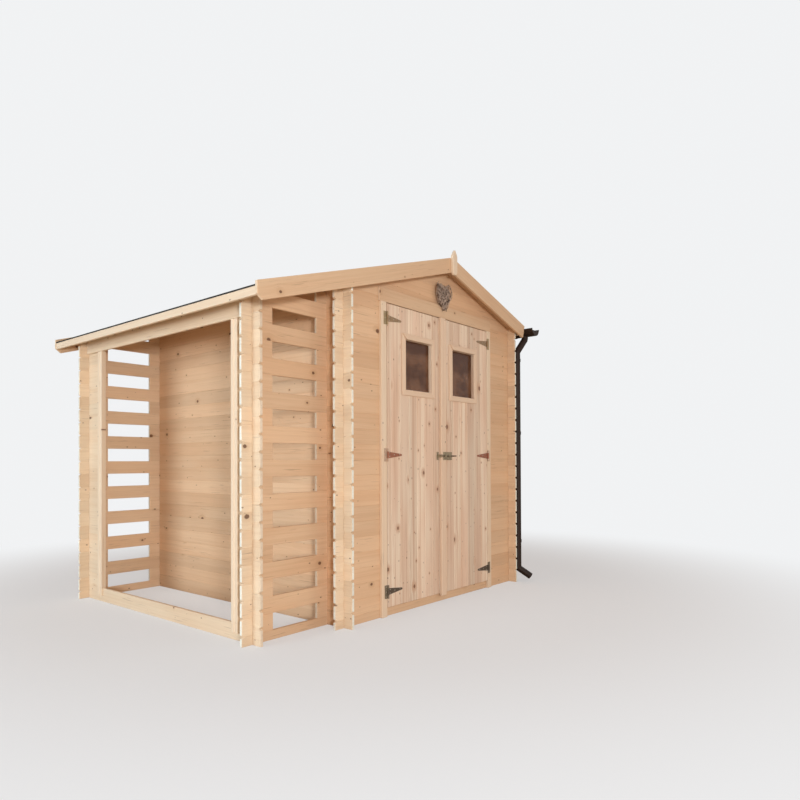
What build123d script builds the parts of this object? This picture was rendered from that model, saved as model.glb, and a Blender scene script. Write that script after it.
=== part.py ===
from build123d import *
import math
import os

# Garden shed with an open log store built along its left side.
# Walls are horizontal boards that cross at the corners, with their ends standing out past the corner.
# Millimetres. X runs to the right along the front, Y runs back from the front wall, Z is up.
# While the pieces are made, X = 0 and Y = 0 are the outer faces of the shed's left and front walls.
# At the end everything is moved so that the origin is the middle of the shed room, at ground level.

# Boards and walls
course = 90.0            # height that one wall board covers
wall = 18.0              # thickness of the wall boards
end_overhang = 65.0      # how far board ends stand out past a corner
front_joint = 50.0       # height of the first joint in the front and rear walls
notch_depth = 12.0       # how far the clipped corners of a board end reach back
notch_half = 10.0        # half the height of the notch between two board ends

# Plan
shed_width = 1842.0      # outer face to outer face of the side walls
depth = 1990.0           # outer face of the shed's front wall to outer face of the rear wall
store_width = 530.0      # shed's left wall to the outer face of the log store's side
store_setback = 132.0    # log store's front wall behind the shed's front wall

# Slots in the log store's front and rear walls
slot_left_stub = 134.0   # short board at the outer side of a slot, from the side wall's outer face
slot_right_stub = 80.0   # short board at the shed's side of a slot

# Side opening of the log store
side_front_stub = 166.0  # side boards in front of the opening, from the front wall's outer face
side_rear_stub = 230.0   # side boards behind the opening, from the rear wall's outer face
side_top_board = 30.0    # least height of the board over the opening
jamb_lip_width = 56.0
jamb_lip = 12.0          # thickness of the jamb's lip on the outer face
jamb_web = 10.0          # thickness of the jamb over the board ends
jamb_foot = 42.0         # height of the jamb's lower end
jamb_groove_width = 16.0
jamb_groove_depth = 5.0
header_thick = 16.0
header_drop = 14.0       # how far the header hangs below the board behind it

# Roof
roof_rise = 0.31         # rise over run of both slopes
gable_rise = 351.0       # underside of the roof boards at the ridge, over the doorway's head
roof_board = 16.0
felt = 4.0
felt_turn_down = 3.0
felt_lap = 3.0           # how far the felt stands out past the eave boards
barge_thick = 18.0
barge_height = 100.0     # measured plumb
barge_upstand = 17.0     # how far the bargeboards stand up over the felt, plumb
barge_heel = 36.0        # clipped lower corner of the left bargeboards, along X
barge_heel_rise = 28.0   # the same corner, plumb
barge_cut = 25.0         # how far the right bargeboards' ends lean in at the foot
left_eave = 155.0        # left end of the roof past the log store's side
right_eave = 52.0        # right end of the roof past the shed's right wall
front_eave = 97.0        # roof boards past the shed's front wall
rear_eave = 145.0        # roof boards past the rear wall
eave_board = 18.0
eave_board_height = 46.0
ridge_beam_width = 45.0
ridge_beam_height = 95.0
purlin_width = 45.0
purlin_height = 70.0
purlin_offset = 460.0    # purlins from the ridge, along X
finial_width = 50.0
finial_thick = 20.0
finial_above = 46.0      # point of the finial over the bargeboards' peak
finial_shoulder = 40.0
finial_foot = 14.0
finial_drop = 20.0       # lower end of the finial under the bargeboards

# Doorway and doors
door_half = 568.0        # middle of the doorway to a jamb
door_head = 1908.0
door_gap = 6.0           # running gap round the leaves
door_trim_width = 48.0
door_trim = 20.0
leaf_thick = 20.0
leaf_split = 40.0        # meeting edge of the leaves, left of the middle
head_trim_height = 85.0
head_trim = 15.0
head_trim_lap = 7.0      # how far the head trim runs past the jambs
ledge_height = 90.0
ledge_thick = 18.0
ledge_inset = 45.0
cover_width = 54.0
cover_thick = 22.0
cover_foot = 14.0        # how far the cover strip ends below the leaves
window_offset = 253.5    # middle of a window from the meeting edges
window_shift = 33.5      # how far both windows sit to the right of that
window_width = 266.0
window_height = 315.0
window_drop = 198.0      # top of the leaves to the head of a window
window_frame_width = 36.0
window_frame_thick = 10.0
window_cap_thick = 20.0  # the frame's head is thicker than its sides
pane_thick = 4.0
pane_rebate = 6.0        # how far the pane reaches under the frame

# Hinges and bolt
hinge_plate_height = 80.0
hinge_plate_width = 26.0
hinge_metal = 2.5
hinge_barrel = 5.0       # radius of the barrel
hinge_seat = 0.5         # barrel in front of the metal it turns over
hinge_end_gap = 0.6      # gap between the barrel pieces, along the pin
hinge_pin = 2.5          # radius of the pin
hinge_pin_gap = 0.1
strap_length = 135.0
strap_root = 42.0
strap_tip = 12.0
hinge_levels = (0.052, 0.50, 0.95)    # shares of the leaves' height, with a ledge behind each
door_swing = 150.0
bolt_height = 975.0
bolt_radius = 5.0
bolt_stand = 9.0         # axis of the bolt in front of the cover strip
bolt_bore_gap = 0.3
bolt_length = 126.0
bolt_plate_height = 54.0
bolt_plate_width = 98.0
bolt_plate_start = 17.0  # plate from the cover strip's edge at the meeting
bolt_metal = 2.0
bolt_loop_width = 16.0
bolt_knob_end = 4.5      # knob's axis from the end of the bolt
bolt_knob_radius = 4.0
bolt_knob_length = 24.0
bolt_loop_wall = 2.5
bolt_loop_inset = 3.0
bolt_loop_apart = 45.0   # from the start of one loop to the other
keeper_width = 20.0
keeper_gap = 2.0         # room round the bolt inside the keeper

# Gutter and downpipe
gutter_width = 110.0
gutter_wall = 3.0
gutter_cap_drop = 15.0   # top of the end caps under the gutter's rim
gutter_gap = 1.0         # gutter to the felt's edge, and brackets under it
gutter_front = 65.0      # gutter past the front bargeboard
gutter_rear = 20.0       # gutter past the rear bargeboard
bracket_count = 4
bracket_width = 25.0
bracket_thick = 3.0
pipe_radius = 25.0
pipe_wall = 2.5
pipe_stand = 35.0        # axis of the downpipe from the right wall
pipe_front = 55.0        # axis of the downpipe in front of the front wall
neck_drop = 107.0        # height of the swan neck's slanted length
pipe_foot = 105.0
outlet_front = 85.0
outlet_length = 18.0
shoe_side = 60.0
shoe_forward = 75.0
shoe_foot = 38.0
clip_heights = (315.0, 1160.0, 1731.0)
clip_height = 24.0
clip_thick = 3.0

# Floor of the shed
floor_board = 18.0
floor_gap = 3.0          # floor boards to the walls
joist_width = 50.0
joist_count = 5

# Wicker heart on the gable
heart_width = 175.0
heart_height = 198.0
heart_thick = 36.0
heart_side = 15.0        # heart's middle to the right of the ridge
heart_lift = 45.0        # heart's point over the doorway's head
heart_clear = 0.5

# Worked out from the values above
middle = shed_width / 2
quarter = course / 4
slope = math.atan(roof_rise)
plumb = 1 / math.cos(slope)
ridge_height = door_head + gable_rise
left_end = -store_width - left_eave
right_end = shed_width + right_eave
roof_front = -front_eave
roof_rear = depth + rear_eave
barge_front = roof_front - barge_thick
barge_rear = roof_rear + barge_thick
boards_left = left_end + felt_lap + eave_board
boards_right = right_end - felt_lap - eave_board
barge_top = ridge_height + (roof_board + felt) * plumb + barge_upstand
door_left = middle - door_half
door_right = middle + door_half
leaf_foot = front_joint + door_gap
leaf_top = door_head - door_gap
leaf_height = leaf_top - leaf_foot
window_foot = leaf_top - window_drop - window_height
heart_foot = door_head + heart_lift
meeting = middle - leaf_split
floor_top = front_joint
joist_height = floor_top - floor_board
slot_left = -store_width + slot_left_stub
slot_right = -slot_right_stub
opening_front = store_setback + side_front_stub
opening_rear = depth - side_rear_stub
store_face = -store_width
hinge_axis_y = -leaf_thick - hinge_metal - hinge_seat - hinge_barrel
tall = ridge_height + 200


def under_roof(x):
    """Height of the roof boards' underside."""
    return ridge_height - roof_rise * abs(x - middle)


slot_count = int((under_roof(0) - front_joint) // (2 * course))
side_top_course = int((under_roof(store_face) - side_top_board) // course)
opening_top = side_top_course * course - header_drop


def block(x0, x1, y0, y1, z0, z1):
    """Box between two corners."""
    return Pos(x0, y0, z0) * Box(x1 - x0, y1 - y0, z1 - z0, align=(Align.MIN, Align.MIN, Align.MIN))


def slab_xz(points, y0, y1):
    """Outline in X and Z, as thick as from y0 to y1."""
    plane = Plane(origin=(0, y1, 0), x_dir=(1, 0, 0), z_dir=(0, -1, 0))
    return extrude(plane * make_face(Polyline(*points, close=True)), amount=y1 - y0)


def slab_yz(points, x0, x1):
    """Outline in Y and Z, as thick as from x0 to x1."""
    plane = Plane(origin=(x0, 0, 0), x_dir=(0, 1, 0), z_dir=(1, 0, 0))
    return extrude(plane * make_face(Polyline(*points, close=True)), amount=x1 - x0)


def slab_xy(points, z0, z1):
    """Outline in X and Y, as thick as from z0 to z1."""
    return extrude(Plane.XY.offset(z0) * make_face(Polyline(*points, close=True)), amount=z1 - z0)


def notched_edge(end, inward, low, high, first):
    """Points up a board-end edge, with a notch at each joint. inward is 1 or -1."""
    points = [(end, low)]
    count = int((high - first) // course) + 1
    for number in range(count):
        joint = first + number * course
        if low + notch_half < joint < high - notch_half:
            points += [(end, joint - notch_half), (end + inward * notch_depth, joint), (end, joint + notch_half)]
    points.append((end, high))
    return points


# Space under the roof boards and behind the right eave board, which trims every wall top
roof_space = slab_xz(
    [
        (left_end, -1), (right_end, -1), (right_end, under_roof(right_end)),
        (middle, ridge_height), (left_end, under_roof(left_end)),
    ],
    -2 * end_overhang, depth + 2 * end_overhang,
)
eave_top = under_roof(right_end) + roof_board * plumb
roof_space -= block(boards_right, right_end, -2 * end_overhang, depth + 2 * end_overhang, eave_top - eave_board_height, tall)


def crossing(x0, y0, offset):
    """Boxes that one wall gives up to the other where they cross; offset is the first box's middle."""
    boxes = []
    number = 0
    while number * course + offset - quarter < tall:
        level = number * course + offset
        boxes.append(block(x0, x0 + wall, y0, y0 + wall, level - quarter, level + quarter))
        number += 1
    return boxes


def cross_front(x0, y0):
    """Cuts for a front or rear wall where a side wall crosses it."""
    return crossing(x0, y0, course / 2)


def cross_side(x0, y0):
    """Cuts for a side wall where a front or rear wall crosses it."""
    return crossing(x0, y0, 0)


nodes = {}


def put(name, *solids):
    """Keep the solids of one node."""
    found = []
    for solid in solids:
        found += list(solid.solids())
    nodes[name] = found


# Shed's front wall: beside the doorway, over it, and the half board under it
wall_end_left = -end_overhang
wall_end_right = shed_width + end_overhang

outline = notched_edge(wall_end_left, 1, 0, door_head, front_joint) + [(door_left, door_head), (door_left, 0)]
put("front_wall_left", (slab_xz(outline, 0, wall) - cross_front(0, 0)) & roof_space)

outline = notched_edge(wall_end_right, -1, 0, door_head, front_joint) + [(door_right, door_head), (door_right, 0)]
right_cuts = cross_front(shed_width - wall, 0)
put("front_wall_right", (slab_xz(outline, 0, wall) - right_cuts) & roof_space)

outline = notched_edge(wall_end_left, 1, door_head, ridge_height, front_joint)
outline += notched_edge(wall_end_right, -1, door_head, ridge_height, front_joint)[::-1]
gable_cuts = cross_front(0, 0) + right_cuts
put("front_gable", (slab_xz(outline, 0, wall) - gable_cuts) & roof_space)

put("door_threshold", block(door_left, door_right, 0, wall, 0, front_joint))

# Side walls of the shed
side_front = -end_overhang
side_rear = depth + end_overhang


def side_wall(x0):
    """Full wall of boards along Y, with its crossings at the front and the rear."""
    top = ridge_height
    points = notched_edge(side_front, 1, 0, top, course) + notched_edge(side_rear, -1, 0, top, course)[::-1]
    cuts = cross_side(x0, 0) + cross_side(x0, depth - wall)
    return (slab_yz(points, x0, x0 + wall) - cuts) & roof_space


put("right_wall", side_wall(shed_width - wall))
put("partition_wall", side_wall(0))

# Rear wall of the shed, up to the ridge
points = [(0, 0), (0, ridge_height)]
points += notched_edge(wall_end_right, -1, 0, ridge_height, front_joint)[::-1]
rear_cuts = cross_front(0, depth - wall) + cross_front(shed_width - wall, depth - wall)
put("rear_wall", (slab_xz(points, depth - wall, depth) - rear_cuts) & roof_space)


# Log store's front and rear walls: full boards and short boards by turns
store_left = -store_width - end_overhang


def board(x0, x1, y0, low, high):
    """One board of the log store's front or rear wall, with clipped corners at its outer end."""
    points = [(x1, low), (x1, high)]
    if x0 == store_left:
        points += [(x0 + notch_depth, high), (x0, high - notch_half)]
        points += [(x0, low + notch_half), (x0 + notch_depth, low)] if low > 0 else [(x0, low)]
        solid = slab_xz(points, y0, y0 + wall) - cross_front(store_face, y0)
    else:
        solid = block(x0, x1, y0, y0 + wall, low, high)
    return solid & roof_space


def slotted_wall(y0):
    """Full boards and short boards of one slotted wall."""
    full = [board(store_left, 0, y0, 0, front_joint)]
    short = []
    for number in range(slot_count + 1):
        low = front_joint + 2 * number * course
        short.append(board(store_left, slot_left, y0, low, low + course))
        short.append(board(slot_right, 0, y0, low, low + course))
        if low + course < under_roof(0):
            full.append(board(store_left, 0, y0, low + course, low + 2 * course))
    return full, short


for side, y0 in (("front", store_setback), ("rear", depth - wall)):
    full, short = slotted_wall(y0)
    put(f"store_{side}_boards", *full)
    put(f"store_{side}_stubs", *short)

# Log store's side: short boards at each end, one board under the opening and one over it
store_front_end = store_setback - end_overhang
store_cuts = cross_side(store_face, store_setback) + cross_side(store_face, depth - wall)
stub_low = course
stub_high = side_top_course * course


def side_piece(points):
    """Piece of the log store's side wall with its share of the corner crossings."""
    return (slab_yz(points, store_face, store_face + wall) - store_cuts) & roof_space


front_stub_end = opening_front - jamb_web
points = notched_edge(store_front_end, 1, stub_low, stub_high, course)
points += [(front_stub_end, stub_high), (front_stub_end, stub_low)]
front_stub = side_piece(points)
rear_stub_end = opening_rear + jamb_web
points = notched_edge(side_rear, -1, stub_low, stub_high, course)
points += [(rear_stub_end, stub_high), (rear_stub_end, stub_low)]
rear_stub = side_piece(points)
put("store_side_stubs", front_stub, rear_stub)

points = [
    (store_front_end, 0), (store_front_end, course - notch_half), (store_front_end + notch_depth, course),
    (side_rear - notch_depth, course), (side_rear, course - notch_half), (side_rear, 0),
]
sill = side_piece(points)
points = [
    (store_front_end + notch_depth, stub_high), (store_front_end, stub_high + notch_half), (store_front_end, tall),
    (side_rear, tall), (side_rear, stub_high + notch_half), (side_rear - notch_depth, stub_high),
]
put("store_side_rails", sill, side_piece(points))

header_face = store_face - header_thick
header_top = under_roof(header_face)
header_front = store_setback + wall
header_rear = depth - wall
put("store_header", block(header_face, store_face, header_front, header_rear, opening_top, header_top))


def jamb(edge, away):
    """Jamb with a grooved lip outside and a web over the board ends; away is 1 or -1, off the opening."""
    lip_face = store_face - jamb_lip
    span = sorted((edge, edge + away * jamb_lip_width))
    lip = block(lip_face, store_face, span[0], span[1], jamb_foot, opening_top)
    span = sorted((edge, edge + away * jamb_web))
    web = block(store_face, store_face + wall, span[0], span[1], course, opening_top)
    groove_edge = edge + away * (jamb_lip_width - jamb_groove_width) / 2
    span = sorted((groove_edge, groove_edge + away * jamb_groove_width))
    groove = block(lip_face, lip_face + jamb_groove_depth, span[0], span[1], jamb_foot, opening_top)
    return (lip + web) - groove


put("store_jambs", jamb(opening_front, -1), jamb(opening_rear, 1))


# Roof
def roof_line(x, lift):
    """Height of a line parallel to the roof boards' underside, lifted square to the slope."""
    return under_roof(x) + lift * plumb


def roof_slab(x_eave):
    """Roof boards of one slope."""
    points = [
        (middle, ridge_height), (x_eave, under_roof(x_eave)),
        (x_eave, roof_line(x_eave, roof_board)), (middle, roof_line(middle, roof_board)),
    ]
    return slab_xz(points, roof_front, roof_rear)


put("roof_boards_left", roof_slab(boards_left))
put("roof_boards_right", roof_slab(boards_right))

eave_left = boards_left - eave_board
eave_right = boards_right + eave_board
lift = roof_board + felt
points = [
    (left_end, roof_line(left_end, roof_board) - felt_turn_down), (left_end, roof_line(left_end, lift)),
    (middle, roof_line(middle, lift)),
    (right_end, roof_line(right_end, lift)), (right_end, roof_line(right_end, roof_board) - felt_turn_down),
    (eave_right, roof_line(right_end, roof_board) - felt_turn_down), (eave_right, roof_line(eave_right, roof_board)),
    (middle, roof_line(middle, roof_board)),
    (eave_left, roof_line(eave_left, roof_board)), (eave_left, roof_line(left_end, roof_board) - felt_turn_down),
]
put("roofing_felt", slab_xz(points, roof_front, roof_rear))


def eave_fascia(x_inner, x_outer):
    """Board along an eave, with its top on the slope of the roof boards."""
    inner_top = roof_line(x_inner, roof_board)
    outer_top = roof_line(x_outer, roof_board)
    low = outer_top - eave_board_height
    points = [(x_inner, low), (x_outer, low), (x_outer, outer_top), (x_inner, inner_top)]
    return slab_xz(points, roof_front, roof_rear)


put("eave_fascias", eave_fascia(boards_left, eave_left), eave_fascia(boards_right, eave_right))


def barge_line(x):
    """Top edge of the bargeboards."""
    return barge_top - roof_rise * abs(x - middle)


def bargeboards(points):
    """One bargeboard at the front and its twin at the rear."""
    return (slab_xz(points, barge_front, roof_front), slab_xz(points, roof_rear, barge_rear))


heel = left_end + barge_heel
points = [
    (middle, barge_line(middle)), (left_end, barge_line(left_end)),
    (left_end, barge_line(heel) - barge_height + barge_heel_rise), (heel, barge_line(heel) - barge_height),
    (middle, barge_line(middle) - barge_height),
]
put("bargeboards_left", *bargeboards(points))
foot = right_end - barge_cut
points = [
    (middle, barge_line(middle)), (right_end, barge_line(right_end)),
    (foot, barge_line(foot) - barge_height), (middle, barge_line(middle) - barge_height),
]
put("bargeboards_right", *bargeboards(points))

half = finial_width / 2
finial_point = barge_top + finial_above
finial_low = barge_top - barge_height - finial_drop
points = [
    (middle, finial_point), (middle + half, finial_point - finial_shoulder), (middle + half, finial_low + finial_foot),
    (middle + half / 2, finial_low), (middle - half / 2, finial_low),
    (middle - half, finial_low + finial_foot), (middle - half, finial_point - finial_shoulder),
]
finial_front = slab_xz(points, barge_front - finial_thick, barge_front)
finial_rear = slab_xz(points, barge_rear, barge_rear + finial_thick)
put("finials", finial_front, finial_rear)


def roof_beam(x, width, height):
    """Beam under the roof boards between the gables."""
    x0 = x - width / 2
    x1 = x + width / 2
    low = min(under_roof(x0), under_roof(x1)) - height
    points = [(x0, low), (x1, low), (x1, under_roof(x1))]
    if x == middle:
        points.append((middle, ridge_height))
    points.append((x0, under_roof(x0)))
    return slab_xz(points, wall, depth - wall)


put("ridge_beam", roof_beam(middle, ridge_beam_width, ridge_beam_height))
purlin_left = roof_beam(middle - purlin_offset, purlin_width, purlin_height)
purlin_right = roof_beam(middle + purlin_offset, purlin_width, purlin_height)
put("purlins", purlin_left, purlin_right)

# Floor of the shed
joists = []
joist_first = wall + joist_width / 2
joist_last = depth - wall - joist_width / 2
for number in range(joist_count):
    y = joist_first + number * (joist_last - joist_first) / (joist_count - 1)
    joists.append(block(wall, shed_width - wall, y - joist_width / 2, y + joist_width / 2, 0, joist_height))
put("floor_joists", *joists)
inset = wall + floor_gap
put("floor_boards", block(inset, shed_width - inset, inset, depth - inset, joist_height, floor_top))

# Trim round the doorway
trim_left = block(door_left - door_trim_width, door_left, -door_trim, 0, 0, door_head)
trim_right = block(door_right, door_right + door_trim_width, -door_trim, 0, 0, door_head)
put("door_jambs", trim_left, trim_right)
head_left = door_left - door_trim_width - head_trim_lap
head_right = door_right + door_trim_width + head_trim_lap
put("door_head_trim", block(head_left, head_right, -head_trim, 0, door_head, door_head + head_trim_height))


# Door leaves
def window_hole(x, grow, y0, y1):
    """Window opening centred on x, grown on all four sides."""
    low = window_foot - grow
    high = window_foot + window_height + grow
    return block(x - window_width / 2 - grow, x + window_width / 2 + grow, y0, y1, low, high)


pane_rear = 0
pane_front = -pane_thick


def leaf(x0, x1, x_window):
    """Door leaf with its ledges at the back and a rebated window opening."""
    body = block(x0, x1, -leaf_thick, 0, leaf_foot, leaf_top)
    for share in hinge_levels:
        level = leaf_foot + share * leaf_height
        low = level - ledge_height / 2
        body += block(x0 + ledge_inset, x1 - ledge_inset, 0, ledge_thick, low, low + ledge_height)
    body -= window_hole(x_window, 0, -leaf_thick - 1, ledge_thick + 1)
    return body - window_hole(x_window, pane_rebate, pane_front, ledge_thick + 1)


def window_frame(x):
    """Mitred frame round a window, with a thicker head."""
    front = -leaf_thick - window_frame_thick
    frame = window_hole(x, window_frame_width, front, -leaf_thick) - window_hole(x, 0, front - 1, 0)
    head = window_foot + window_height
    inner = window_width / 2
    outer = inner + window_frame_width
    points = [
        (x - inner, head), (x + inner, head),
        (x + outer, head + window_frame_width), (x - outer, head + window_frame_width),
    ]
    return frame + slab_xz(points, -leaf_thick - window_cap_thick, -leaf_thick)


def window_pane(x):
    """Pane in the leaf's rebate."""
    return window_hole(x, pane_rebate, pane_front, pane_rear)


leaf_left = (door_left + door_gap, meeting - door_gap / 2)
leaf_right = (meeting + door_gap / 2, door_right - door_gap)
window_left = meeting - window_offset + window_shift
window_right = meeting + window_offset + window_shift
put("door_leaf_left", leaf(*leaf_left, window_left))
put("door_leaf_right", leaf(*leaf_right, window_right))
put("window_frame_left", window_frame(window_left))
put("window_frame_right", window_frame(window_right))
put("window_pane_left", window_pane(window_left))
put("window_pane_right", window_pane(window_right))

cover_left = leaf_right[0]
cover_face = -leaf_thick - cover_thick
cover_low = leaf_foot - cover_foot
cover_right = cover_left + cover_width
plate_x0 = cover_left + bolt_plate_start
plate_x1 = plate_x0 + bolt_plate_width
plate_low = bolt_height - bolt_plate_height / 2
plate_high = bolt_height + bolt_plate_height / 2
cover_strip = block(cover_left, cover_right, cover_face, -leaf_thick, cover_low, leaf_top)
cover_strip += block(cover_right, plate_x1, cover_face, -leaf_thick, plate_low, plate_high)
put("door_cover_strip", cover_strip)


# Hinges: plate with the outer barrel pieces and pin on the trim, strap with the middle piece on the leaf
def barrel(x, low, high, radius):
    """Upright cylinder on a hinge axis."""
    return Pos(x, hinge_axis_y, low) * Cylinder(radius, high - low, align=(Align.CENTER, Align.CENTER, Align.MIN))


def hinge_plate(x, away, level):
    """Fixed half of a hinge; away is -1 at the left jamb and 1 at the right one."""
    low = level - hinge_plate_height / 2
    high = level + hinge_plate_height / 2
    knuckle_low = level - strap_root / 2 - hinge_end_gap
    knuckle_high = level + strap_root / 2 + hinge_end_gap
    span = sorted((x, x + away * hinge_plate_width))
    plate = block(span[0], span[1], -door_trim - hinge_metal, -door_trim, low, high)
    span = sorted((x, x + away * hinge_barrel))
    neck_front = -door_trim - hinge_metal - hinge_seat - hinge_barrel
    plate += block(span[0], span[1], neck_front, -door_trim, low, knuckle_low)
    plate += block(span[0], span[1], neck_front, -door_trim, knuckle_high, high)
    plate += barrel(x, low, knuckle_low, hinge_barrel)
    plate += barrel(x, knuckle_high, high, hinge_barrel)
    return plate + barrel(x, low, high, hinge_pin)


def hinge_strap(x, into, level):
    """Moving half of a hinge; into is 1 at the left jamb and -1 at the right one."""
    back = -leaf_thick
    front = back - hinge_metal
    root = x + into * door_gap
    tip = x + into * strap_length
    half_root = strap_root / 2
    half_tip = strap_tip / 2
    points = [
        (root, level - half_root), (root, level + half_root),
        (tip, level + half_tip), (tip + into * half_tip, level), (tip, level - half_tip),
    ]
    strap = slab_xz(points, front, back)
    span = sorted((x + into * (hinge_pin + hinge_metal / 2), root + into * hinge_metal))
    strap += block(span[0], span[1], hinge_axis_y, back, level - half_root, level + half_root)
    strap += barrel(x, level - half_root, level + half_root, hinge_barrel)
    return strap - barrel(x, level - half_root, level + half_root, hinge_pin + hinge_pin_gap)


hinge_heights = [leaf_foot + share * leaf_height for share in hinge_levels]
plates = [hinge_plate(door_left, -1, level) for level in hinge_heights]
plates += [hinge_plate(door_right, 1, level) for level in hinge_heights]
put("hinge_plates", *plates)
put("hinge_straps_left", *[hinge_strap(door_left, 1, level) for level in hinge_heights])
put("hinge_straps_right", *[hinge_strap(door_right, -1, level) for level in hinge_heights])

# Bolt across the meeting edges, drawn back at rest
bolt_y = cover_face - bolt_stand


def bolt_loop(x0, x1, back):
    """Loop round the bolt, standing on a plate whose face is at back."""
    outer = bolt_radius + bolt_loop_wall
    body = block(x0, x1, bolt_y - outer, back, bolt_height - outer, bolt_height + outer)
    bore = Pos((x0 + x1) / 2, bolt_y, bolt_height) * Rot(0, 90, 0) * Cylinder(bolt_radius + bolt_bore_gap, x1 - x0 + 2)
    return body - bore


guide = block(plate_x0, plate_x1, cover_face - bolt_metal, cover_face, plate_low, plate_high)
loop_x0 = plate_x0 + bolt_loop_inset
for loop_start in (loop_x0, loop_x0 + bolt_loop_apart):
    guide += bolt_loop(loop_start, loop_start + bolt_loop_width, cover_face)
put("bolt_guides", guide)

bolt_tip = cover_left + bolt_metal
rod = Pos(bolt_tip + bolt_length / 2, bolt_y, bolt_height) * Rot(0, 90, 0) * Cylinder(bolt_radius, bolt_length)
knob = Cylinder(bolt_knob_radius, bolt_knob_length, align=(Align.CENTER, Align.CENTER, Align.MIN))
knob = Pos(bolt_tip + bolt_length - bolt_knob_end, bolt_y, bolt_height) * Rot(90, 0, 0) * knob
put("bolt_rod", rod + knob)

keeper_x1 = leaf_left[1] - 1
keeper_x0 = keeper_x1 - keeper_width
keeper = block(keeper_x0, keeper_x1, -leaf_thick - bolt_metal, -leaf_thick, plate_low, plate_high)
inner = bolt_radius + keeper_gap
outer = inner + bolt_loop_wall
keeper += block(keeper_x0 + 5, keeper_x1 - 5, bolt_y - outer, -leaf_thick, bolt_height - outer, bolt_height + outer)
keeper -= block(keeper_x0 - 1, keeper_x1 + 1, bolt_y - inner, bolt_y + inner, bolt_height - inner, bolt_height + inner)
put("bolt_keeper", keeper)

# Gutter along the right eave
gutter_radius = gutter_width / 2
gutter_x = right_end + gutter_radius + gutter_gap
gutter_rim = roof_line(eave_right, roof_board)
felt_edge = roof_line(right_end, roof_board) - felt_turn_down
gutter_y0 = barge_front - gutter_front
gutter_y1 = barge_rear + gutter_rear


def half_round(radius, y0, y1):
    """Lower half of a round bar along Y, under the gutter's rim."""
    bar = Pos(gutter_x, y0, gutter_rim) * Rot(-90, 0, 0)
    bar = bar * Cylinder(radius, y1 - y0, align=(Align.CENTER, Align.CENTER, Align.MIN))
    return bar & block(gutter_x - radius - 1, gutter_x + radius + 1, y0 - 1, y1 + 1, gutter_rim - radius - 1, gutter_rim)


gutter = half_round(gutter_radius, gutter_y0, gutter_y1)
gutter -= half_round(gutter_radius - gutter_wall, gutter_y0 + gutter_wall, gutter_y1 - gutter_wall)
cap_half = gutter_radius - gutter_wall
cap_top = gutter_rim - gutter_cap_drop
for cap_y in (gutter_y0, gutter_y1):
    lowered = half_round(cap_half, cap_y - 10, cap_y + 10)
    gutter -= lowered & block(gutter_x - cap_half, gutter_x + cap_half, cap_y - 10, cap_y + 10, cap_top, gutter_rim + 1)
outlet_hole = Pos(gutter_x, -outlet_front, gutter_rim - gutter_radius) * Cylinder(pipe_radius - pipe_wall, 40)
put("gutter", gutter - outlet_hole)

brackets = []
for number in range(bracket_count):
    span = roof_rear - roof_front - 2 * course - bracket_width
    y = roof_front + course + 0.5 * bracket_width + number * span / (bracket_count - 1)
    y0 = y - bracket_width / 2
    y1 = y + bracket_width / 2
    hook = half_round(gutter_radius + bracket_thick, y0, y1) - half_round(gutter_radius, y0 - 1, y1 + 1)
    hook += block(eave_right, gutter_x - gutter_radius, y0, y1, felt_edge - eave_board_height / 2, felt_edge)
    hook -= half_round(gutter_radius, y0 - 1, y1 + 1)
    hook -= block(eave_right - 1, gutter_x - gutter_radius, y0 - 1, y1 + 1, felt_edge - gutter_gap, gutter_rim + 1)
    brackets.append(hook)
put("gutter_brackets", *brackets)

# Downpipe with its swan neck and shoe
pipe_x = shed_width + pipe_stand
pipe_y = -pipe_front
outlet_top = gutter_rim - gutter_radius + 10
neck_top = gutter_rim - gutter_radius - outlet_length
pipe_top = neck_top - neck_drop
route = Polyline(
    (gutter_x, -outlet_front, outlet_top), (gutter_x, -outlet_front, neck_top),
    (pipe_x, pipe_y, pipe_top), (pipe_x, pipe_y, pipe_foot),
    (pipe_x + shoe_side, pipe_y - shoe_forward, shoe_foot),
)
start = Plane(origin=(gutter_x, -outlet_front, outlet_top), z_dir=(0, 0, -1))
outer_pipe = sweep(start * Circle(pipe_radius), path=route, transition=Transition.ROUND)
inner_pipe = sweep(start * Circle(pipe_radius - pipe_wall), path=route, transition=Transition.ROUND)
trough = half_round(gutter_radius, gutter_y0, gutter_y1)
pipe = outer_pipe - inner_pipe - trough
put("downpipe", max(pipe.solids(), key=lambda solid: solid.volume))

clips = []
for level in clip_heights:
    ring = Pos(pipe_x, pipe_y, level) * Cylinder(pipe_radius + clip_thick, clip_height)
    ring -= Pos(pipe_x, pipe_y, level) * Cylinder(pipe_radius, clip_height + 2)
    foot = block(shed_width, pipe_x, pipe_y - 8, pipe_y + 8, level - clip_height / 2, level + clip_height / 2)
    foot -= Pos(pipe_x, pipe_y, level) * Cylinder(pipe_radius + clip_thick / 2, clip_height + 2)
    clips.append(ring + foot)
put("pipe_clips", *clips)

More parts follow.
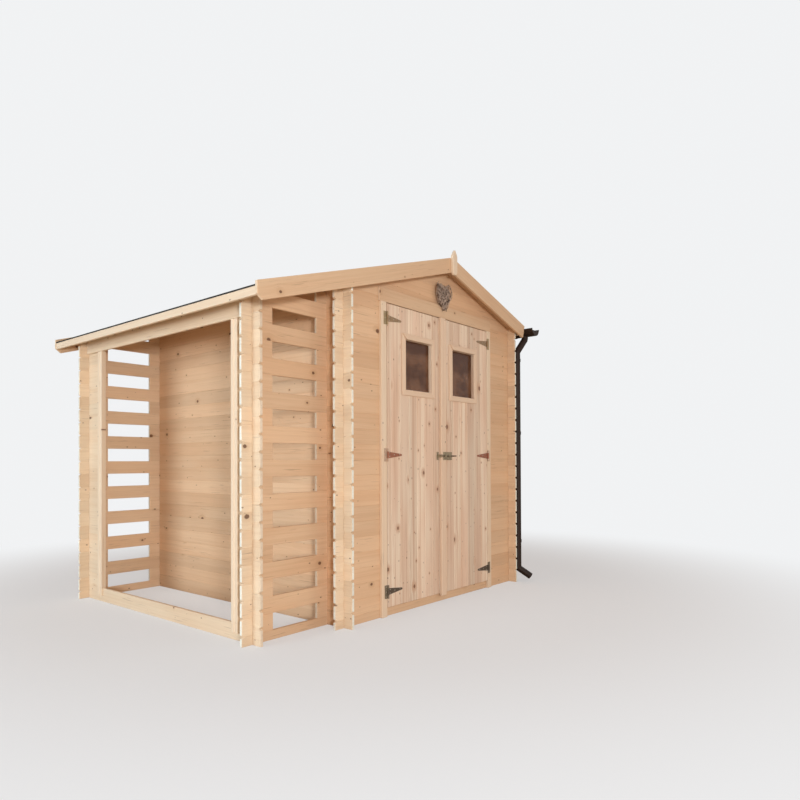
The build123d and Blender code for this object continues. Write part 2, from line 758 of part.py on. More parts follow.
# Wicker heart hung on the gable
heart_x = middle + heart_side
heart_back = -head_trim - heart_clear
heart_half = heart_width / 2
lobe = heart_width / 4
lobe_z = heart_foot + heart_height - lobe
heart_plane = Plane(origin=(heart_x, heart_back, 0), x_dir=(1, 0, 0), z_dir=(0, -1, 0))
heart_outline = Polyline(
    (-heart_half, lobe_z), (-heart_half * 0.92, lobe_z - heart_height * 0.2), (-heart_half * 0.55, lobe_z - heart_height * 0.47),
    (0, heart_foot), (heart_half * 0.55, lobe_z - heart_height * 0.47), (heart_half * 0.92, lobe_z - heart_height * 0.2),
    (heart_half, lobe_z), close=True,
)
heart = extrude(heart_plane * make_face(heart_outline), amount=heart_thick)
for side in (-1, 1):
    heart += extrude(heart_plane * Pos(side * lobe, lobe_z) * Circle(lobe), amount=heart_thick)
peg = Pos(heart_x, 0, lobe_z) * Rot(90, 0, 0) * Cylinder(4, -heart_back + 2, align=(Align.CENTER, Align.CENTER, Align.MIN))
put("heart_ornament", heart + peg)

# Origin to the middle of the shed room, at ground level
os.makedirs("parts", exist_ok=True)
origin = Pos(-middle, -depth / 2, 0)
for name, solids in nodes.items():
    placed = [origin * solid for solid in solids]
    shape = placed[0] if len(placed) == 1 else Compound(children=placed)
    export_step(shape, f"parts/{name}.step")
print(len(nodes), "nodes")
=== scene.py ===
import bpy
import bmesh
import math
import random
import numpy as np
from functools import partialmethod
from mathutils import Matrix, Vector


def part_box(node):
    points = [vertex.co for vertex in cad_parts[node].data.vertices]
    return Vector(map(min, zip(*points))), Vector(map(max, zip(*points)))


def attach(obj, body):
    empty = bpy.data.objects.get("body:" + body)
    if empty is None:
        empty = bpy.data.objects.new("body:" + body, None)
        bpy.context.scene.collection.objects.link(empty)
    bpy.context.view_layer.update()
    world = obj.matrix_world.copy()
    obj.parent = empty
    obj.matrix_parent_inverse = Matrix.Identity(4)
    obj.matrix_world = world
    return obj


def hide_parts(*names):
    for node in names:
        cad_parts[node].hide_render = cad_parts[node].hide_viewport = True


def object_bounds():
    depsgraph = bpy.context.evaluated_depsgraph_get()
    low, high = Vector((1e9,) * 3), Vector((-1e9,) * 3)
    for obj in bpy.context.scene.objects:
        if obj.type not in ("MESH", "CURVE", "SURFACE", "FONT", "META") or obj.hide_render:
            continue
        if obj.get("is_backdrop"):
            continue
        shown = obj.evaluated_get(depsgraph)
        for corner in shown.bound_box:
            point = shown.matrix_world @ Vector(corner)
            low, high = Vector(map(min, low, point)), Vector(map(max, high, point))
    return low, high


# Garden shed of crossed spruce boards with an open log store along its left side.
# Metres. X runs along the front, Y runs back, Z is up, with the origin in the middle of the shed room.

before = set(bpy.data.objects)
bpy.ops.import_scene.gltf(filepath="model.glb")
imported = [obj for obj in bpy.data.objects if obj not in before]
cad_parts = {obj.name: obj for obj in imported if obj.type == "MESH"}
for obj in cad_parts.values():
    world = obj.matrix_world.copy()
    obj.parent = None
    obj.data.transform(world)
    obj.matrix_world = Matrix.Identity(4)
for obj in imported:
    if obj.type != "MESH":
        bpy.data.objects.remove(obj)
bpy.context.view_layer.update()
chance = random.Random(11)

# Sizes that the CAD nodes don't give directly
COURSE = 0.09            # height that one wall board covers
FIRST_JOINT = 0.05       # first joint of the front and rear walls
WALL = 0.018
LAP = COURSE / 4         # each board's cut at a crossing, above and below
CLIP_BACK = 0.012        # clipped corners of the board ends
CLIP_UP = 0.010
EASE = 0.0016            # eased edges of planed boards
TRIM_EASE = 0.002        # eased edges of trim, beams and ledges
GAP = 0.0006             # hairline between boards that lie side by side
RISE = 0.31              # roof's rise over run
COS_TILT = math.cos(math.atan(RISE))
SIN_TILT = math.sin(math.atan(RISE))
DECK = 0.016             # thickness of the roof boards
EAVE_HIGH = 0.046        # height of the eave boards

X_AXIS = Vector((1, 0, 0))
Y_AXIS = Vector((0, 1, 0))
Z_AXIS = Vector((0, 0, 1))
ORIGIN = Vector((0, 0, 0))

# Places from the CAD nodes
wall_end_left, door_left = (corner.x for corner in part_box("front_wall_left"))
door_right, wall_end_right = (corner.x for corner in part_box("front_wall_right"))
side_end_front, side_end_rear = (corner.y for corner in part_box("partition_wall"))
front_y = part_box("front_wall_left")[0].y
rear_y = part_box("rear_wall")[0].y
partition_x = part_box("partition_wall")[0].x
right_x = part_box("right_wall")[0].x
store_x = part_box("store_side_stubs")[0].x
store_end_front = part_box("store_side_stubs")[0].y
store_end_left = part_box("store_front_boards")[0].x
store_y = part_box("store_front_boards")[0].y
eave_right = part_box("roof_boards_right")[1].x
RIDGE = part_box("front_gable")[1].z   # underside of the roof boards at the ridge
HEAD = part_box("door_jambs")[1].z     # doorway's head


# Node trees

def adder(tree):
    """Gives the function that adds a node to a tree, joins its inputs and sets its options."""

    def put(socket, value):
        value = value.socket if isinstance(value, Value) else value
        if isinstance(value, bpy.types.NodeSocket):
            tree.links.new(value, socket)
        else:
            socket.default_value = (*value, 1) if socket.type == "RGBA" else value

    def add(kind, inputs=None, **options):
        node = tree.nodes.new(kind)
        for key, value in options.items():
            setattr(node, key, value)
        for key, value in (inputs or {}).items():
            put(node.inputs[key], value)
        return node

    return add


def maths(add, operation, *values, clamp=False):
    """Output of a Math node."""
    node = add("ShaderNodeMath", dict(enumerate(values)), operation=operation, use_clamp=clamp)
    return Value(node.outputs[0])


class Value:
    """What comes out of a node. Arithmetic with it adds Math nodes to the same tree."""

    def __init__(self, socket):
        self.socket = socket
        self.add = adder(socket.id_data)

    def then(self, operation, *values, clamp=False):
        """Math node that takes this value first."""
        return maths(self.add, operation, self, *values, clamp=clamp)

    __add__ = partialmethod(then, "ADD")
    __sub__ = partialmethod(then, "SUBTRACT")
    __mul__ = partialmethod(then, "MULTIPLY")
    __truediv__ = partialmethod(then, "DIVIDE")
    __pow__ = partialmethod(then, "POWER")

    def __rsub__(self, other):
        return maths(self.add, "SUBTRACT", other, self)

    def fitted(self, factor, plus):
        """This value times a factor, plus a number."""
        return self.then("MULTIPLY_ADD", factor, plus)

    def ramp(self, low, high):
        """Smooth step from 0 at low to 1 at high."""
        node = self.add("ShaderNodeMapRange", {"Value": self, "From Min": low, "From Max": high},
                        interpolation_type="SMOOTHSTEP", clamp=True)
        return Value(node.outputs[0])


def vectors(add, operation, *values, out=0):
    """Output of a Vector Math node; lengths and dot products come out at 1."""
    return Value(add("ShaderNodeVectorMath", dict(enumerate(values)), operation=operation).outputs[out])


def split(add, whole, kind="ShaderNodeSeparateXYZ"):
    """Three parts of a vector, or of a colour with ShaderNodeSeparateColor."""
    return [Value(part) for part in add(kind, {0: whole}).outputs]


def blended(add, factor, first, second, blend="MIX"):
    """Colour mixed from two colours."""
    node = add("ShaderNodeMix", {0: factor, 6: first, 7: second}, data_type="RGBA", blend_type=blend)
    return node.outputs[2]


def shaded(add, colour, shade):
    """Colour made darker or lighter by a number."""
    grey = add("ShaderNodeCombineColor", {0: shade, 1: shade, 2: shade}).outputs[0]
    return blended(add, 1.0, colour, grey, "MULTIPLY")


def noise(add, vector, scale, detail=2.0, rough=0.5):
    """Noise value."""
    node = add("ShaderNodeTexNoise", {"Vector": vector, "Scale": scale, "Detail": detail, "Roughness": rough})
    return Value(node.outputs[0])


def stretched(add, parts, factors):
    """Vector whose parts are scaled one by one."""
    scaled = [part * factor for part, factor in zip(parts, factors)]
    return add("ShaderNodeCombineXYZ", dict(enumerate(scaled))).outputs[0]


def figure(add, parts, factors, detail=2.0, rough=0.5):
    """Noise with its own scale along, across and through a board."""
    return noise(add, stretched(add, parts, factors), 1.0, detail, rough)


def named_inputs(tree, inputs):
    """Makes a tree's inputs, each from its kind or, for a plain number, from its default."""
    for label, kind in inputs.items():
        number = isinstance(kind, float)
        socket_type = "NodeSocket" + ("Float" if number else kind)
        socket = tree.interface.new_socket(label, in_out="INPUT", socket_type=socket_type)
        if number:
            socket.default_value = kind


def geometry_tree(name, inputs):
    """Geometry node tree with named inputs: the tree, its helper and its inputs."""
    tree = bpy.data.node_groups.new(name, "GeometryNodeTree")
    named_inputs(tree, {"Geometry": "Geometry", **inputs, "Finish": "Material"})
    tree.interface.new_socket("Geometry", in_out="OUTPUT", socket_type="NodeSocketGeometry")
    add = adder(tree)
    return tree, add, add("NodeGroupInput").outputs


def ended(tree, add, given, last):
    """Ends a geometry tree with a real mesh in its finish."""
    real = add("GeometryNodeRealizeInstances", {"Geometry": last.outputs[0]})
    painted = add("GeometryNodeSetMaterial", {"Geometry": real.outputs[0], "Material": given["Finish"]})
    add("NodeGroupOutput", {0: painted.outputs[0]})
    return tree


def grown(obj, tree, **values):
    """Mesh that a tree makes from an object; the object goes."""
    modifier = obj.modifiers.new("grow", "NODES")
    modifier.node_group = tree
    for item in tree.interface.items_tree:
        if item.in_out == "INPUT" and item.name in values:
            modifier[item.identifier] = values[item.name]
    bpy.context.scene.collection.objects.link(obj)
    graph = bpy.context.evaluated_depsgraph_get()
    mesh = bpy.data.meshes.new_from_object(
        obj.evaluated_get(graph), preserve_all_data_layers=True, depsgraph=graph)
    bpy.data.objects.remove(obj)
    return mesh


def board_stack_tree():
    """Repeats one board at even steps, each with its own tone, from which its grain and shade follow."""
    tree, add, given = geometry_tree("Board stack", {"Count": "Int", "Step": "Vector", "Seed": "Int"})
    line = add("GeometryNodeMeshLine", {"Count": given["Count"], "Offset": given["Step"]}, mode="OFFSET")
    boards = add("GeometryNodeInstanceOnPoints", {"Points": line.outputs[0], "Instance": given["Geometry"]})
    shade = add("FunctionNodeRandomValue", {"Seed": given["Seed"]}, data_type="FLOAT")
    stored = add("GeometryNodeStoreNamedAttribute", {
        "Geometry": boards.outputs[0], "Name": "tone", "Value": shade.outputs["Value"],
    }, data_type="FLOAT", domain="INSTANCE")
    return ended(tree, add, given, stored)


def fastener_tree():
    """Sets a copy of a screw head on every point, each with its own turn."""
    tree, add, given = geometry_tree("Heads on points", {"Head": "Object", "Scale": "Float", "Seed": "Int"})
    head = add("GeometryNodeObjectInfo", {"Object": given["Head"]}, transform_space="ORIGINAL")
    spin = add("FunctionNodeRandomValue", {"Seed": given["Seed"], 3: math.pi}, data_type="FLOAT")
    turn = add("ShaderNodeCombineXYZ", {"Y": spin.outputs[1]})
    placed = add("GeometryNodeInstanceOnPoints", {
        "Points": given["Geometry"], "Instance": head.outputs["Geometry"],
        "Rotation": turn.outputs[0], "Scale": given["Scale"],
    })
    return ended(tree, add, given, placed)


def twig_tree():
    """Gives each curve the round body of a twig."""
    tree, add, given = geometry_tree("Twigs", {"Radius": "Float", "Sides": "Int"})
    ring = add("GeometryNodeCurvePrimitiveCircle", {"Resolution": given["Sides"], "Radius": given["Radius"]})
    tube = add("GeometryNodeCurveToMesh", {
        "Curve": given["Geometry"], "Profile Curve": ring.outputs[0], "Fill Caps": True,
    })
    return ended(tree, add, given, tube)


def shader_group(name, inputs, outputs=("Color", "Roughness", "Height")):
    """Shader node group with named inputs and outputs: the tree, its helper and its inputs as values."""
    tree = bpy.data.node_groups.new(name, "ShaderNodeTree")
    named_inputs(tree, inputs)
    for label in outputs:
        kind = "NodeSocketColor" if label == "Color" else "NodeSocketFloat"
        tree.interface.new_socket(label, in_out="OUTPUT", socket_type=kind)
    add = adder(tree)
    sockets = add("NodeGroupInput").outputs
    return tree, add, {label: Value(sockets[label]) for label in inputs}


# Wood figure. Threes are to the metre along, across and through a board.
KNOT_CELLS = (3.4, 9.0)      # knot sites to the metre along and across a board
KNOT_SIZE = (0.0115, 0.0034)  # how far radii vary, and the smallest
KNOT_LONG = 0.8              # knots are longer along the board
PIN_CELLS = (9.0, 24.0)      # small knots likewise
PIN_SIZE = (0.0026, 0.0014)
PIN_LONG = 1.7
BEND = (-0.12, 0.9)          # how soon the grain's bend round a knot fades, and how strong it is
RING = 0.0042                # width of a growth ring
RING_DRIFT = (0.7, 2.0, 2.0)
FIBRE = (6.0, 420.0, 420.0)
STREAK = (0.8, 55.0, 55.0)
BLOTCH = (1.1, 5.0, 5.0)
CHECK = (5.0, 210.0, 210.0)
CHECK_PATCH = (2.6, 16.0, 16.0)
BOARD_SHIFT = (61.7, 23.3, 17.9)   # how far a board's tone moves its figure
ODD = 97.3                         # spreads the tones over the random numbers


def sites(add, parts, cells, long=1.0):
    """Random sites over a board's face: the way from the nearest one, and its own random numbers."""
    spots = stretched(add, parts, (*cells, 0.0))
    nearest = add("ShaderNodeTexVoronoi", {"Vector": spots, "Scale": 1.0, "Randomness": 1.0},
                  voronoi_dimensions="2D")
    away = vectors(add, "SUBTRACT", spots, nearest.outputs["Position"])
    away = vectors(add, "DIVIDE", away, (cells[0] * long, cells[1], 1.0))
    return away, split(add, nearest.outputs["Color"], "ShaderNodeSeparateColor")


def timber_group():
    """Planed softwood: growth rings round a pith, fibres, knots that bend the grain, and end grain."""
    tree, add, given = shader_group("Softwood", {
        "Grain": "Vector", "Run": "Vector", "Facing": "Vector", "Tone": "Float",
        "Pale": "Color", "Late": "Color", "Blush": "Color", "Knot": "Color", "End": "Color",
        "Knots": "Float", "Pins": "Float", "Ring Strength": "Float", "Streak Strength": "Float",
        "Blush Amount": 0.5, "Shade Range": "Float", "Halo": 0.45, "Checks": "Float",
    })
    tone = given["Tone"]
    spot = split(add, given["Grain"])
    moved = add("ShaderNodeVectorMath", {0: BOARD_SHIFT, 3: tone}, operation="SCALE").outputs[0]
    place = vectors(add, "ADD", given["Grain"], moved)
    parts = split(add, place)

    # Knots, with a darker halo and an uneven edge
    away, lot = sites(add, parts, KNOT_CELLS)
    away = split(add, away)
    wobble = noise(add, place, 130.0).fitted(0.5, 0.75)
    reach = ((away[0] * KNOT_LONG) ** 2 + away[1] ** 2).then("SQRT") * wobble
    spread = reach / (lot[0] ** 2).fitted(*KNOT_SIZE)
    there = lot[1].then("LESS_THAN", given["Knots"])
    core = (1.0 - spread.ramp(0.6, 1.05)) * there
    halo = (1.0 - spread.ramp(0.8, 3.4)) * there
    near, lot = sites(add, parts, PIN_CELLS, PIN_LONG)
    near = vectors(add, "LENGTH", near, out=1) / lot[0].fitted(*PIN_SIZE)
    pins = (1.0 - near.ramp(0.7, 1.3)) * lot[1].then("LESS_THAN", given["Pins"])

    # Growth rings round a pith that lies elsewhere in every board
    fade, strength = BEND
    offset = away[1] * ((spread ** 2 * fade).then("EXPONENT") * there) * strength
    bent = (parts[0], parts[1] - offset, parts[2])
    odd = add("ShaderNodeTexWhiteNoise", {"W": tone * ODD}, noise_dimensions="1D").outputs["Color"]
    odd = split(add, odd, "ShaderNodeSeparateColor")
    drift = figure(add, parts, RING_DRIFT, 1.0).fitted(0.06, -0.03)
    from_t = spot[1] - offset - odd[0].fitted(0.12, -0.06)
    from_w = spot[2] - odd[1].fitted(-0.06, -0.012)
    radius = (from_t ** 2 + from_w ** 2).then("SQRT")
    ring = ((radius + drift) / RING).then("FRACT")
    ring = ring ** 2.2 * (1.0 - ring.ramp(0.9, 1.0))

    # Fibres, streaks, drying cracks and warm patches
    fibre = figure(add, bent, FIBRE, rough=0.6)
    streak = figure(add, bent, STREAK, rough=0.55).ramp(0.42, 0.74)
    crack = figure(add, bent, CHECK, 1.0).ramp(0.66, 0.72)
    crack = crack * figure(add, parts, CHECK_PATCH, 1.0).ramp(0.52, 0.60)
    blush = figure(add, parts, BLOTCH).ramp(0.40, 0.66) * given["Blush Amount"]

    colour = blended(add, blush, given["Pale"], given["Blush"])
    turned = vectors(add, "DOT_PRODUCT", given["Run"], given["Facing"], out=1)
    end = turned.then("ABSOLUTE").ramp(0.75, 0.95)
    long_side = 1.0 - end
    colour = blended(add, end, colour, given["End"])
    for amount in (streak * given["Streak Strength"], ring * given["Ring Strength"]):
        colour = blended(add, amount, colour, given["Late"])
    shade = (tone - 0.5) * given["Shade Range"] + 1.0
    colour = shaded(add, colour, shade * fibre.fitted(0.2, 0.9))
    for amount, tint in (
        (halo * given["Halo"] * long_side, "Late"), (pins * 0.7 * long_side, "Knot"),
        (crack * given["Checks"], "Knot"), (core * 0.88 * long_side, "Knot"),
    ):
        colour = blended(add, amount, colour, given[tint])
    height = fibre * 0.6 + ring * 0.4 + core * -0.5
    add("NodeGroupOutput", {0: colour, 1: fibre.fitted(0.16, 0.54), 2: height})
    return tree


def speckle_group():
    """Fine mottling for coated metal, plastic and mineral felt."""
    tree, add, given = shader_group("Speckle", {
        "Base": "Color", "Fleck": "Color", "Scale": "Float", "Amount": "Float", "Sheen": "Float",
        "Sheen Range": "Float",
    })
    place = add("ShaderNodeTexCoord").outputs["Object"]
    grains = noise(add, place, given["Scale"], 3.0, 0.6)
    clouds = noise(add, place, 5.0)
    colour = blended(add, grains.ramp(0.42, 0.62) * given["Amount"], given["Base"], given["Fleck"])
    colour = shaded(add, colour, clouds.fitted(0.3, 0.85))
    add("NodeGroupOutput", {0: colour, 1: clouds.fitted(given["Sheen Range"], given["Sheen"]), 2: grains})
    return tree


TIMBER = timber_group()
SPECKLE = speckle_group()


# Finishes

def blank(name):
    """Empty material and its helper."""
    material = bpy.data.materials.new(name)
    material.use_nodes = True
    material.node_tree.nodes.clear()
    return material, adder(material.node_tree)


def surface(add, group, colour, bump, gloss, metallic=0.0):
    """Principled shader fed by a colour and by a group's roughness and height."""
    bumped = add("ShaderNodeBump", {"Strength": 1.0, "Distance": bump, "Height": group.outputs["Height"]})
    shader = add("ShaderNodeBsdfPrincipled", {
        "Base Color": colour, "Roughness": group.outputs["Roughness"], "Normal": bumped.outputs[0],
        "Metallic": metallic, "Specular IOR Level": gloss,
    })
    add("ShaderNodeOutputMaterial", {"Surface": shader.outputs[0]})


CORNER_BLUR = 0.003      # how softly the painted light on the projecting board ends begins


def painted_light_on_ends(add, colour, tint):
    """Colour with painted light on the boards' ends that stand out past the shed's corners: a paler, cooler
    tint stands in for the light falling on them.
    """
    x, y = split(add, add("ShaderNodeTexCoord").outputs["Object"])[:2]
    past_side = x.then("ABSOLUTE").ramp(right_x - CORNER_BLUR, right_x + CORNER_BLUR)
    past_front = y.then("ABSOLUTE").ramp(rear_y - CORNER_BLUR, rear_y + CORNER_BLUR)
    past_store = x.ramp(store_x + WALL + CORNER_BLUR, store_x + WALL - CORNER_BLUR)
    past = (past_side * past_front).then("MAXIMUM", past_store)
    # painted light: the projecting ends are multiplied by the paler, cooler tint
    return blended(add, past, colour, blended(add, 1.0, colour, tint, "MULTIPLY"))


def timber(name, pale, late, blush, end, knot=(0.13, 0.055, 0.03), painted_light_tint=None, **amounts):
    """Wood finish that reads each board's own grain, run and tone; a given tint paints light onto the board
    ends that project past the corners.
    """
    material, add = blank(name)
    inputs = {"Pale": pale, "Late": late, "Blush": blush, "End": end, "Knot": knot}
    inputs.update((key.replace("_", " "), value) for key, value in amounts.items())
    for key, output in (("Grain", "Vector"), ("Run", "Vector"), ("Tone", "Fac")):
        inputs[key] = add("ShaderNodeAttribute", attribute_name=key.lower()).outputs[output]
    inputs["Facing"] = add("ShaderNodeTexCoord").outputs["Normal"]
    group = add("ShaderNodeGroup", inputs, node_tree=TIMBER)
    colour = group.outputs["Color"]
    surface(add, group, painted_light_on_ends(add, colour, painted_light_tint) if painted_light_tint else colour, 0.0003, 0.3)
    return material


def speckled(add, base, fleck, values, metallic, bump, gloss):
    """Mottled surface; values are the flecks' scale and amount, and the sheen and how far it varies."""
    inputs = dict(zip(("Scale", "Amount", "Sheen", "Sheen Range"), values))
    group = add("ShaderNodeGroup", {"Base": base, "Fleck": fleck, **inputs}, node_tree=SPECKLE)
    surface(add, group, group.outputs["Color"], bump, gloss, metallic)


def coated(name, base, fleck, *values, metallic=0.0, bump=0.0001, gloss=0.5):
    """Metal, plastic or felt with fine mottling."""
    material, add = blank(name)
    speckled(add, base, fleck, values, metallic, bump, gloss)
    return material


MIDDLE_HINGE = 0.98      # height of the middle hinges
HINGE_REACH = 0.3        # nearer than this it is the middle hinge
FOOT_HINGE_TOP = 0.5     # below this it is the foot hinge
HINGE_FLECK = (0.05, 0.035, 0.025)


def hinge_metal_painted_reflections(name, top, middle, foot):
    """Coated hinge metal, with a painted reflection of its own for the top, middle and foot hinges."""
    material, add = blank(name)
    z = split(add, add("ShaderNodeTexCoord").outputs["Object"])[2]
    off = (z - MIDDLE_HINGE).then("ABSOLUTE")
    plain = blended(add, z.then("LESS_THAN", FOOT_HINGE_TOP), top, foot)
    base = blended(add, off.then("LESS_THAN", HINGE_REACH), plain, middle)
    fleck = blended(add, 0.4, base, HINGE_FLECK)
    speckled(add, base, fleck, (70.0, 0.6, 0.36, 0.2), 0.35, 0.0001, 0.3)
    return material


PANE_SHADOW_BAND = (1.66, 1.61)  # heights between which the lighter mottling on the panes gives way to a painted shadow under the frame's head


def pane_with_painted_shadow():
    """Thin clear sheet with lighter mottling that shows the dark room behind it; near the top the mottling
    stops under a painted shadow of the frame's head.
    """
    tree, add, given = shader_group("Pane with painted shadow", {"Dust": "Color", "Clean": "Color"}, ("Color",))
    place = add("ShaderNodeTexCoord").outputs["Object"]
    clouds = noise(add, place, 9.0, 3.0, 0.6).ramp(0.35, 0.65)
    # painted shadow: above these heights the mottling stops and the pane keeps its dark colour
    mottle = clouds * split(add, place)[2].ramp(*PANE_SHADOW_BAND)
    add("NodeGroupOutput", {0: blended(add, mottle, given["Clean"], given["Dust"])})
    material, add = blank("Window pane")
    group = add("ShaderNodeGroup", {"Dust": (0.27, 0.135, 0.075), "Clean": (0.13, 0.055, 0.028)},
                node_tree=tree)
    shader = add("ShaderNodeBsdfPrincipled", {
        "Base Color": group.outputs[0], "Roughness": 0.04, "Alpha": 0.62, "Specular IOR Level": 0.3,
    })
    add("ShaderNodeOutputMaterial", {"Surface": shader.outputs[0]})
    return material


# The wall boards' ends past the corners carry painted light: a paler, cooler tint.
wall_wood = timber(
    "Spruce wall boards", (0.775, 0.545, 0.355), (0.60, 0.375, 0.215), (0.73, 0.475, 0.29),
    (0.82, 0.73, 0.59), painted_light_tint=(1.10, 1.29, 1.48), Knots=0.30, Pins=0.13, Ring_Strength=0.24,
    Streak_Strength=0.32, Blush_Amount=0.75, Shade_Range=0.14, Halo=0.55, Checks=0.40)
barge_wood = timber(
    "Spruce bargeboards", (0.76, 0.55, 0.365), (0.61, 0.39, 0.23), (0.73, 0.49, 0.31), (0.80, 0.66, 0.50),
    Knots=0.18, Pins=0.10, Ring_Strength=0.22, Streak_Strength=0.28,
    Blush_Amount=0.75, Shade_Range=0.10, Halo=0.5, Checks=0.25)
# Painted light: the store's side-facing boards get a paler, cooler copy of the wall wood, standing in for the
# light on that side.
side_wood_painted_light = timber(
    "Spruce store boards painted lighter", (0.81, 0.665, 0.495), (0.65, 0.45, 0.28), (0.77, 0.57, 0.39), (0.82, 0.71, 0.57),
    Knots=0.25, Pins=0.13, Ring_Strength=0.24, Streak_Strength=0.30,
    Blush_Amount=0.6, Shade_Range=0.10, Halo=0.5, Checks=0.40)
trim_wood = timber(
    "Spruce trim", (0.83, 0.69, 0.53), (0.67, 0.46, 0.30), (0.80, 0.61, 0.44), (0.82, 0.70, 0.56),
    Knots=0.16, Pins=0.12, Ring_Strength=0.22, Streak_Strength=0.25, Shade_Range=0.08, Halo=0.4, Checks=0.35)
door_wood = timber(
    "Spruce door boards", (0.85, 0.72, 0.575), (0.62, 0.40, 0.27), (0.77, 0.565, 0.43), (0.82, 0.70, 0.57),
    (0.20, 0.10, 0.06), Knots=0.7, Pins=0.3, Ring_Strength=0.35, Streak_Strength=0.75,
    Blush_Amount=0.85, Shade_Range=0.2, Halo=0.85, Checks=0.3)
frame_wood = timber(
    "Spruce window frames", (0.81, 0.635, 0.48), (0.64, 0.43, 0.29), (0.77, 0.57, 0.42), (0.82, 0.70, 0.57),
    Knots=0.1, Pins=0.1, Ring_Strength=0.22, Streak_Strength=0.3, Shade_Range=0.08, Halo=0.5, Checks=0.2)
inside_wood = timber(
    "Sawn boards", (0.72, 0.51, 0.34), (0.50, 0.29, 0.16), (0.65, 0.43, 0.27), (0.72, 0.55, 0.40),
    Knots=0.4, Pins=0.2, Ring_Strength=0.4, Streak_Strength=0.35, Shade_Range=0.14, Checks=0.5)
twig_wood = coated("Dry twigs", (0.54, 0.42, 0.34), (0.08, 0.045, 0.03), 55.0, 0.9, 0.7, 0.2, bump=0.0004)
felt_finish = coated("Mineral felt", (0.020, 0.019, 0.019), (0.075, 0.072, 0.070), 700.0, 0.6, 0.9, 0.1,
                     bump=0.0006, gloss=0.12)
brown_finish = coated("Brown gutter", (0.026, 0.014, 0.010), (0.04, 0.023, 0.016), 90.0, 0.3, 0.45, 0.15,
                      bump=0.00002, gloss=0.22)
steel_finish = coated("Bolt steel", (0.33, 0.27, 0.175), (0.17, 0.135, 0.09), 60.0, 0.6, 0.36, 0.2,
                      metallic=0.25, gloss=0.3)
rod_finish = coated("Bolt rod", (0.17, 0.125, 0.08), (0.08, 0.06, 0.04), 60.0, 0.6, 0.32, 0.2,
                    metallic=0.25, gloss=0.3)
screw_finish = coated("Screw steel", (0.50, 0.44, 0.36), (0.30, 0.25, 0.2), 200.0, 0.5, 0.32, 0.2,
                      metallic=1.0)
# Painted reflections: each hinge's colour by height, pale on the middle hinges and dark on the foot hinges.
plate_finish = hinge_metal_painted_reflections("Hinge plates", (0.44, 0.335, 0.19), (0.62, 0.44, 0.32), (0.26, 0.215, 0.155))
strap_finish = hinge_metal_painted_reflections("Hinge straps", (0.34, 0.225, 0.125), (0.37, 0.145, 0.085), (0.135, 0.105, 0.08))
pane_finish = pane_with_painted_shadow()

BOARD_STACK = board_stack_tree()
HEADS = fastener_tree()
TWIGS = twig_tree()


# Boards. How a board lies is its own origin, and which way its length, width and thickness run.

def along_x(y):
    """Horizontal board that runs along X, with its outer face at y."""
    return Vector((0, y, 0)), X_AXIS, Z_AXIS, Y_AXIS


def along_y(x):
    """Horizontal board that runs along Y, with its face at x."""
    return Vector((x, 0, 0)), Y_AXIS, Z_AXIS, X_AXIS


def upright(y):
    """Upright board facing the front, with its face at y."""
    return Vector((0, y, 0)), Z_AXIS, X_AXIS, Y_AXIS


FLAT = (ORIGIN, X_AXIS, Y_AXIS, Z_AXIS)


def board(outline, low, high, how, ease=EASE):
    """Mesh of a board cut to an outline, from low to high through its thickness, with eased edges."""
    shape = bmesh.new()
    face = shape.faces.new([shape.verts.new((s, t, low)) for s, t in outline])
    raised = bmesh.ops.extrude_face_region(shape, geom=[face])
    lifted = [item for item in raised["geom"] if isinstance(item, bmesh.types.BMVert)]
    bmesh.ops.translate(shape, verts=lifted, vec=(0, 0, high - low))
    bmesh.ops.recalc_face_normals(shape, faces=shape.faces)
    if ease:
        bmesh.ops.bevel(shape, geom=shape.edges[:], offset=ease, segments=1, affect="EDGES",
                        clamp_overlap=True)
    grain = shape.verts.layers.float_vector.new("grain")
    run = shape.verts.layers.float_vector.new("run")
    origin, along, across, through = how
    heights = [t for s, t in outline]
    centre = Vector((0, (min(heights) + max(heights)) / 2, (low + high) / 2))
    for vert in shape.verts:
        s, t, w = vert.co
        vert[grain] = vert.co - centre
        vert[run] = along
        vert.co = origin + s * along + t * across + w * through
    bmesh.ops.recalc_face_normals(shape, faces=shape.faces)
    mesh = bpy.data.meshes.new("board")
    shape.to_mesh(mesh)
    shape.free()
    return mesh


def regrained(section, mesh, axis, order):
    """Turns a timber's grain to run along an axis; order says how its length, width and depth lie."""
    middle = sum(s for s, t in section) / len(section)
    for grain, run in zip(mesh.attributes["grain"].data, mesh.attributes["run"].data):
        s, t, w = grain.vector
        parts = (s - middle, t, w)
        grain.vector = [parts[number] for number in order]
        run.vector = axis
    return mesh


def length_of(section, y0, y1, ease):
    """Timber of a section in X and Z that runs from y0 to y1, with its grain along it."""
    mesh = board(section, y0, y1, (ORIGIN, X_AXIS, Z_AXIS, Y_AXIS), ease)
    return regrained(section, mesh, Y_AXIS, (2, 1, 0))


def standing(section, z0, z1, ease):
    """Timber of a section in Y and X that stands from z0 to z1, with its grain upright."""
    mesh = board(section, z0, z1, (ORIGIN, Y_AXIS, X_AXIS, Z_AXIS), ease)
    return regrained(section, mesh, Z_AXIS, (2, 0, 1))


def rectangle(s0, s1, t0, t1):
    """Outline of a plain board."""
    return [(s0, t0), (s1, t0), (s1, t1), (s0, t1)]


# Which ends of a wall board project, and so have clipped corners
BOTH, START, END, NEITHER = (True, True), (True, False), (False, True), (False, False)
TINY = 1e-6


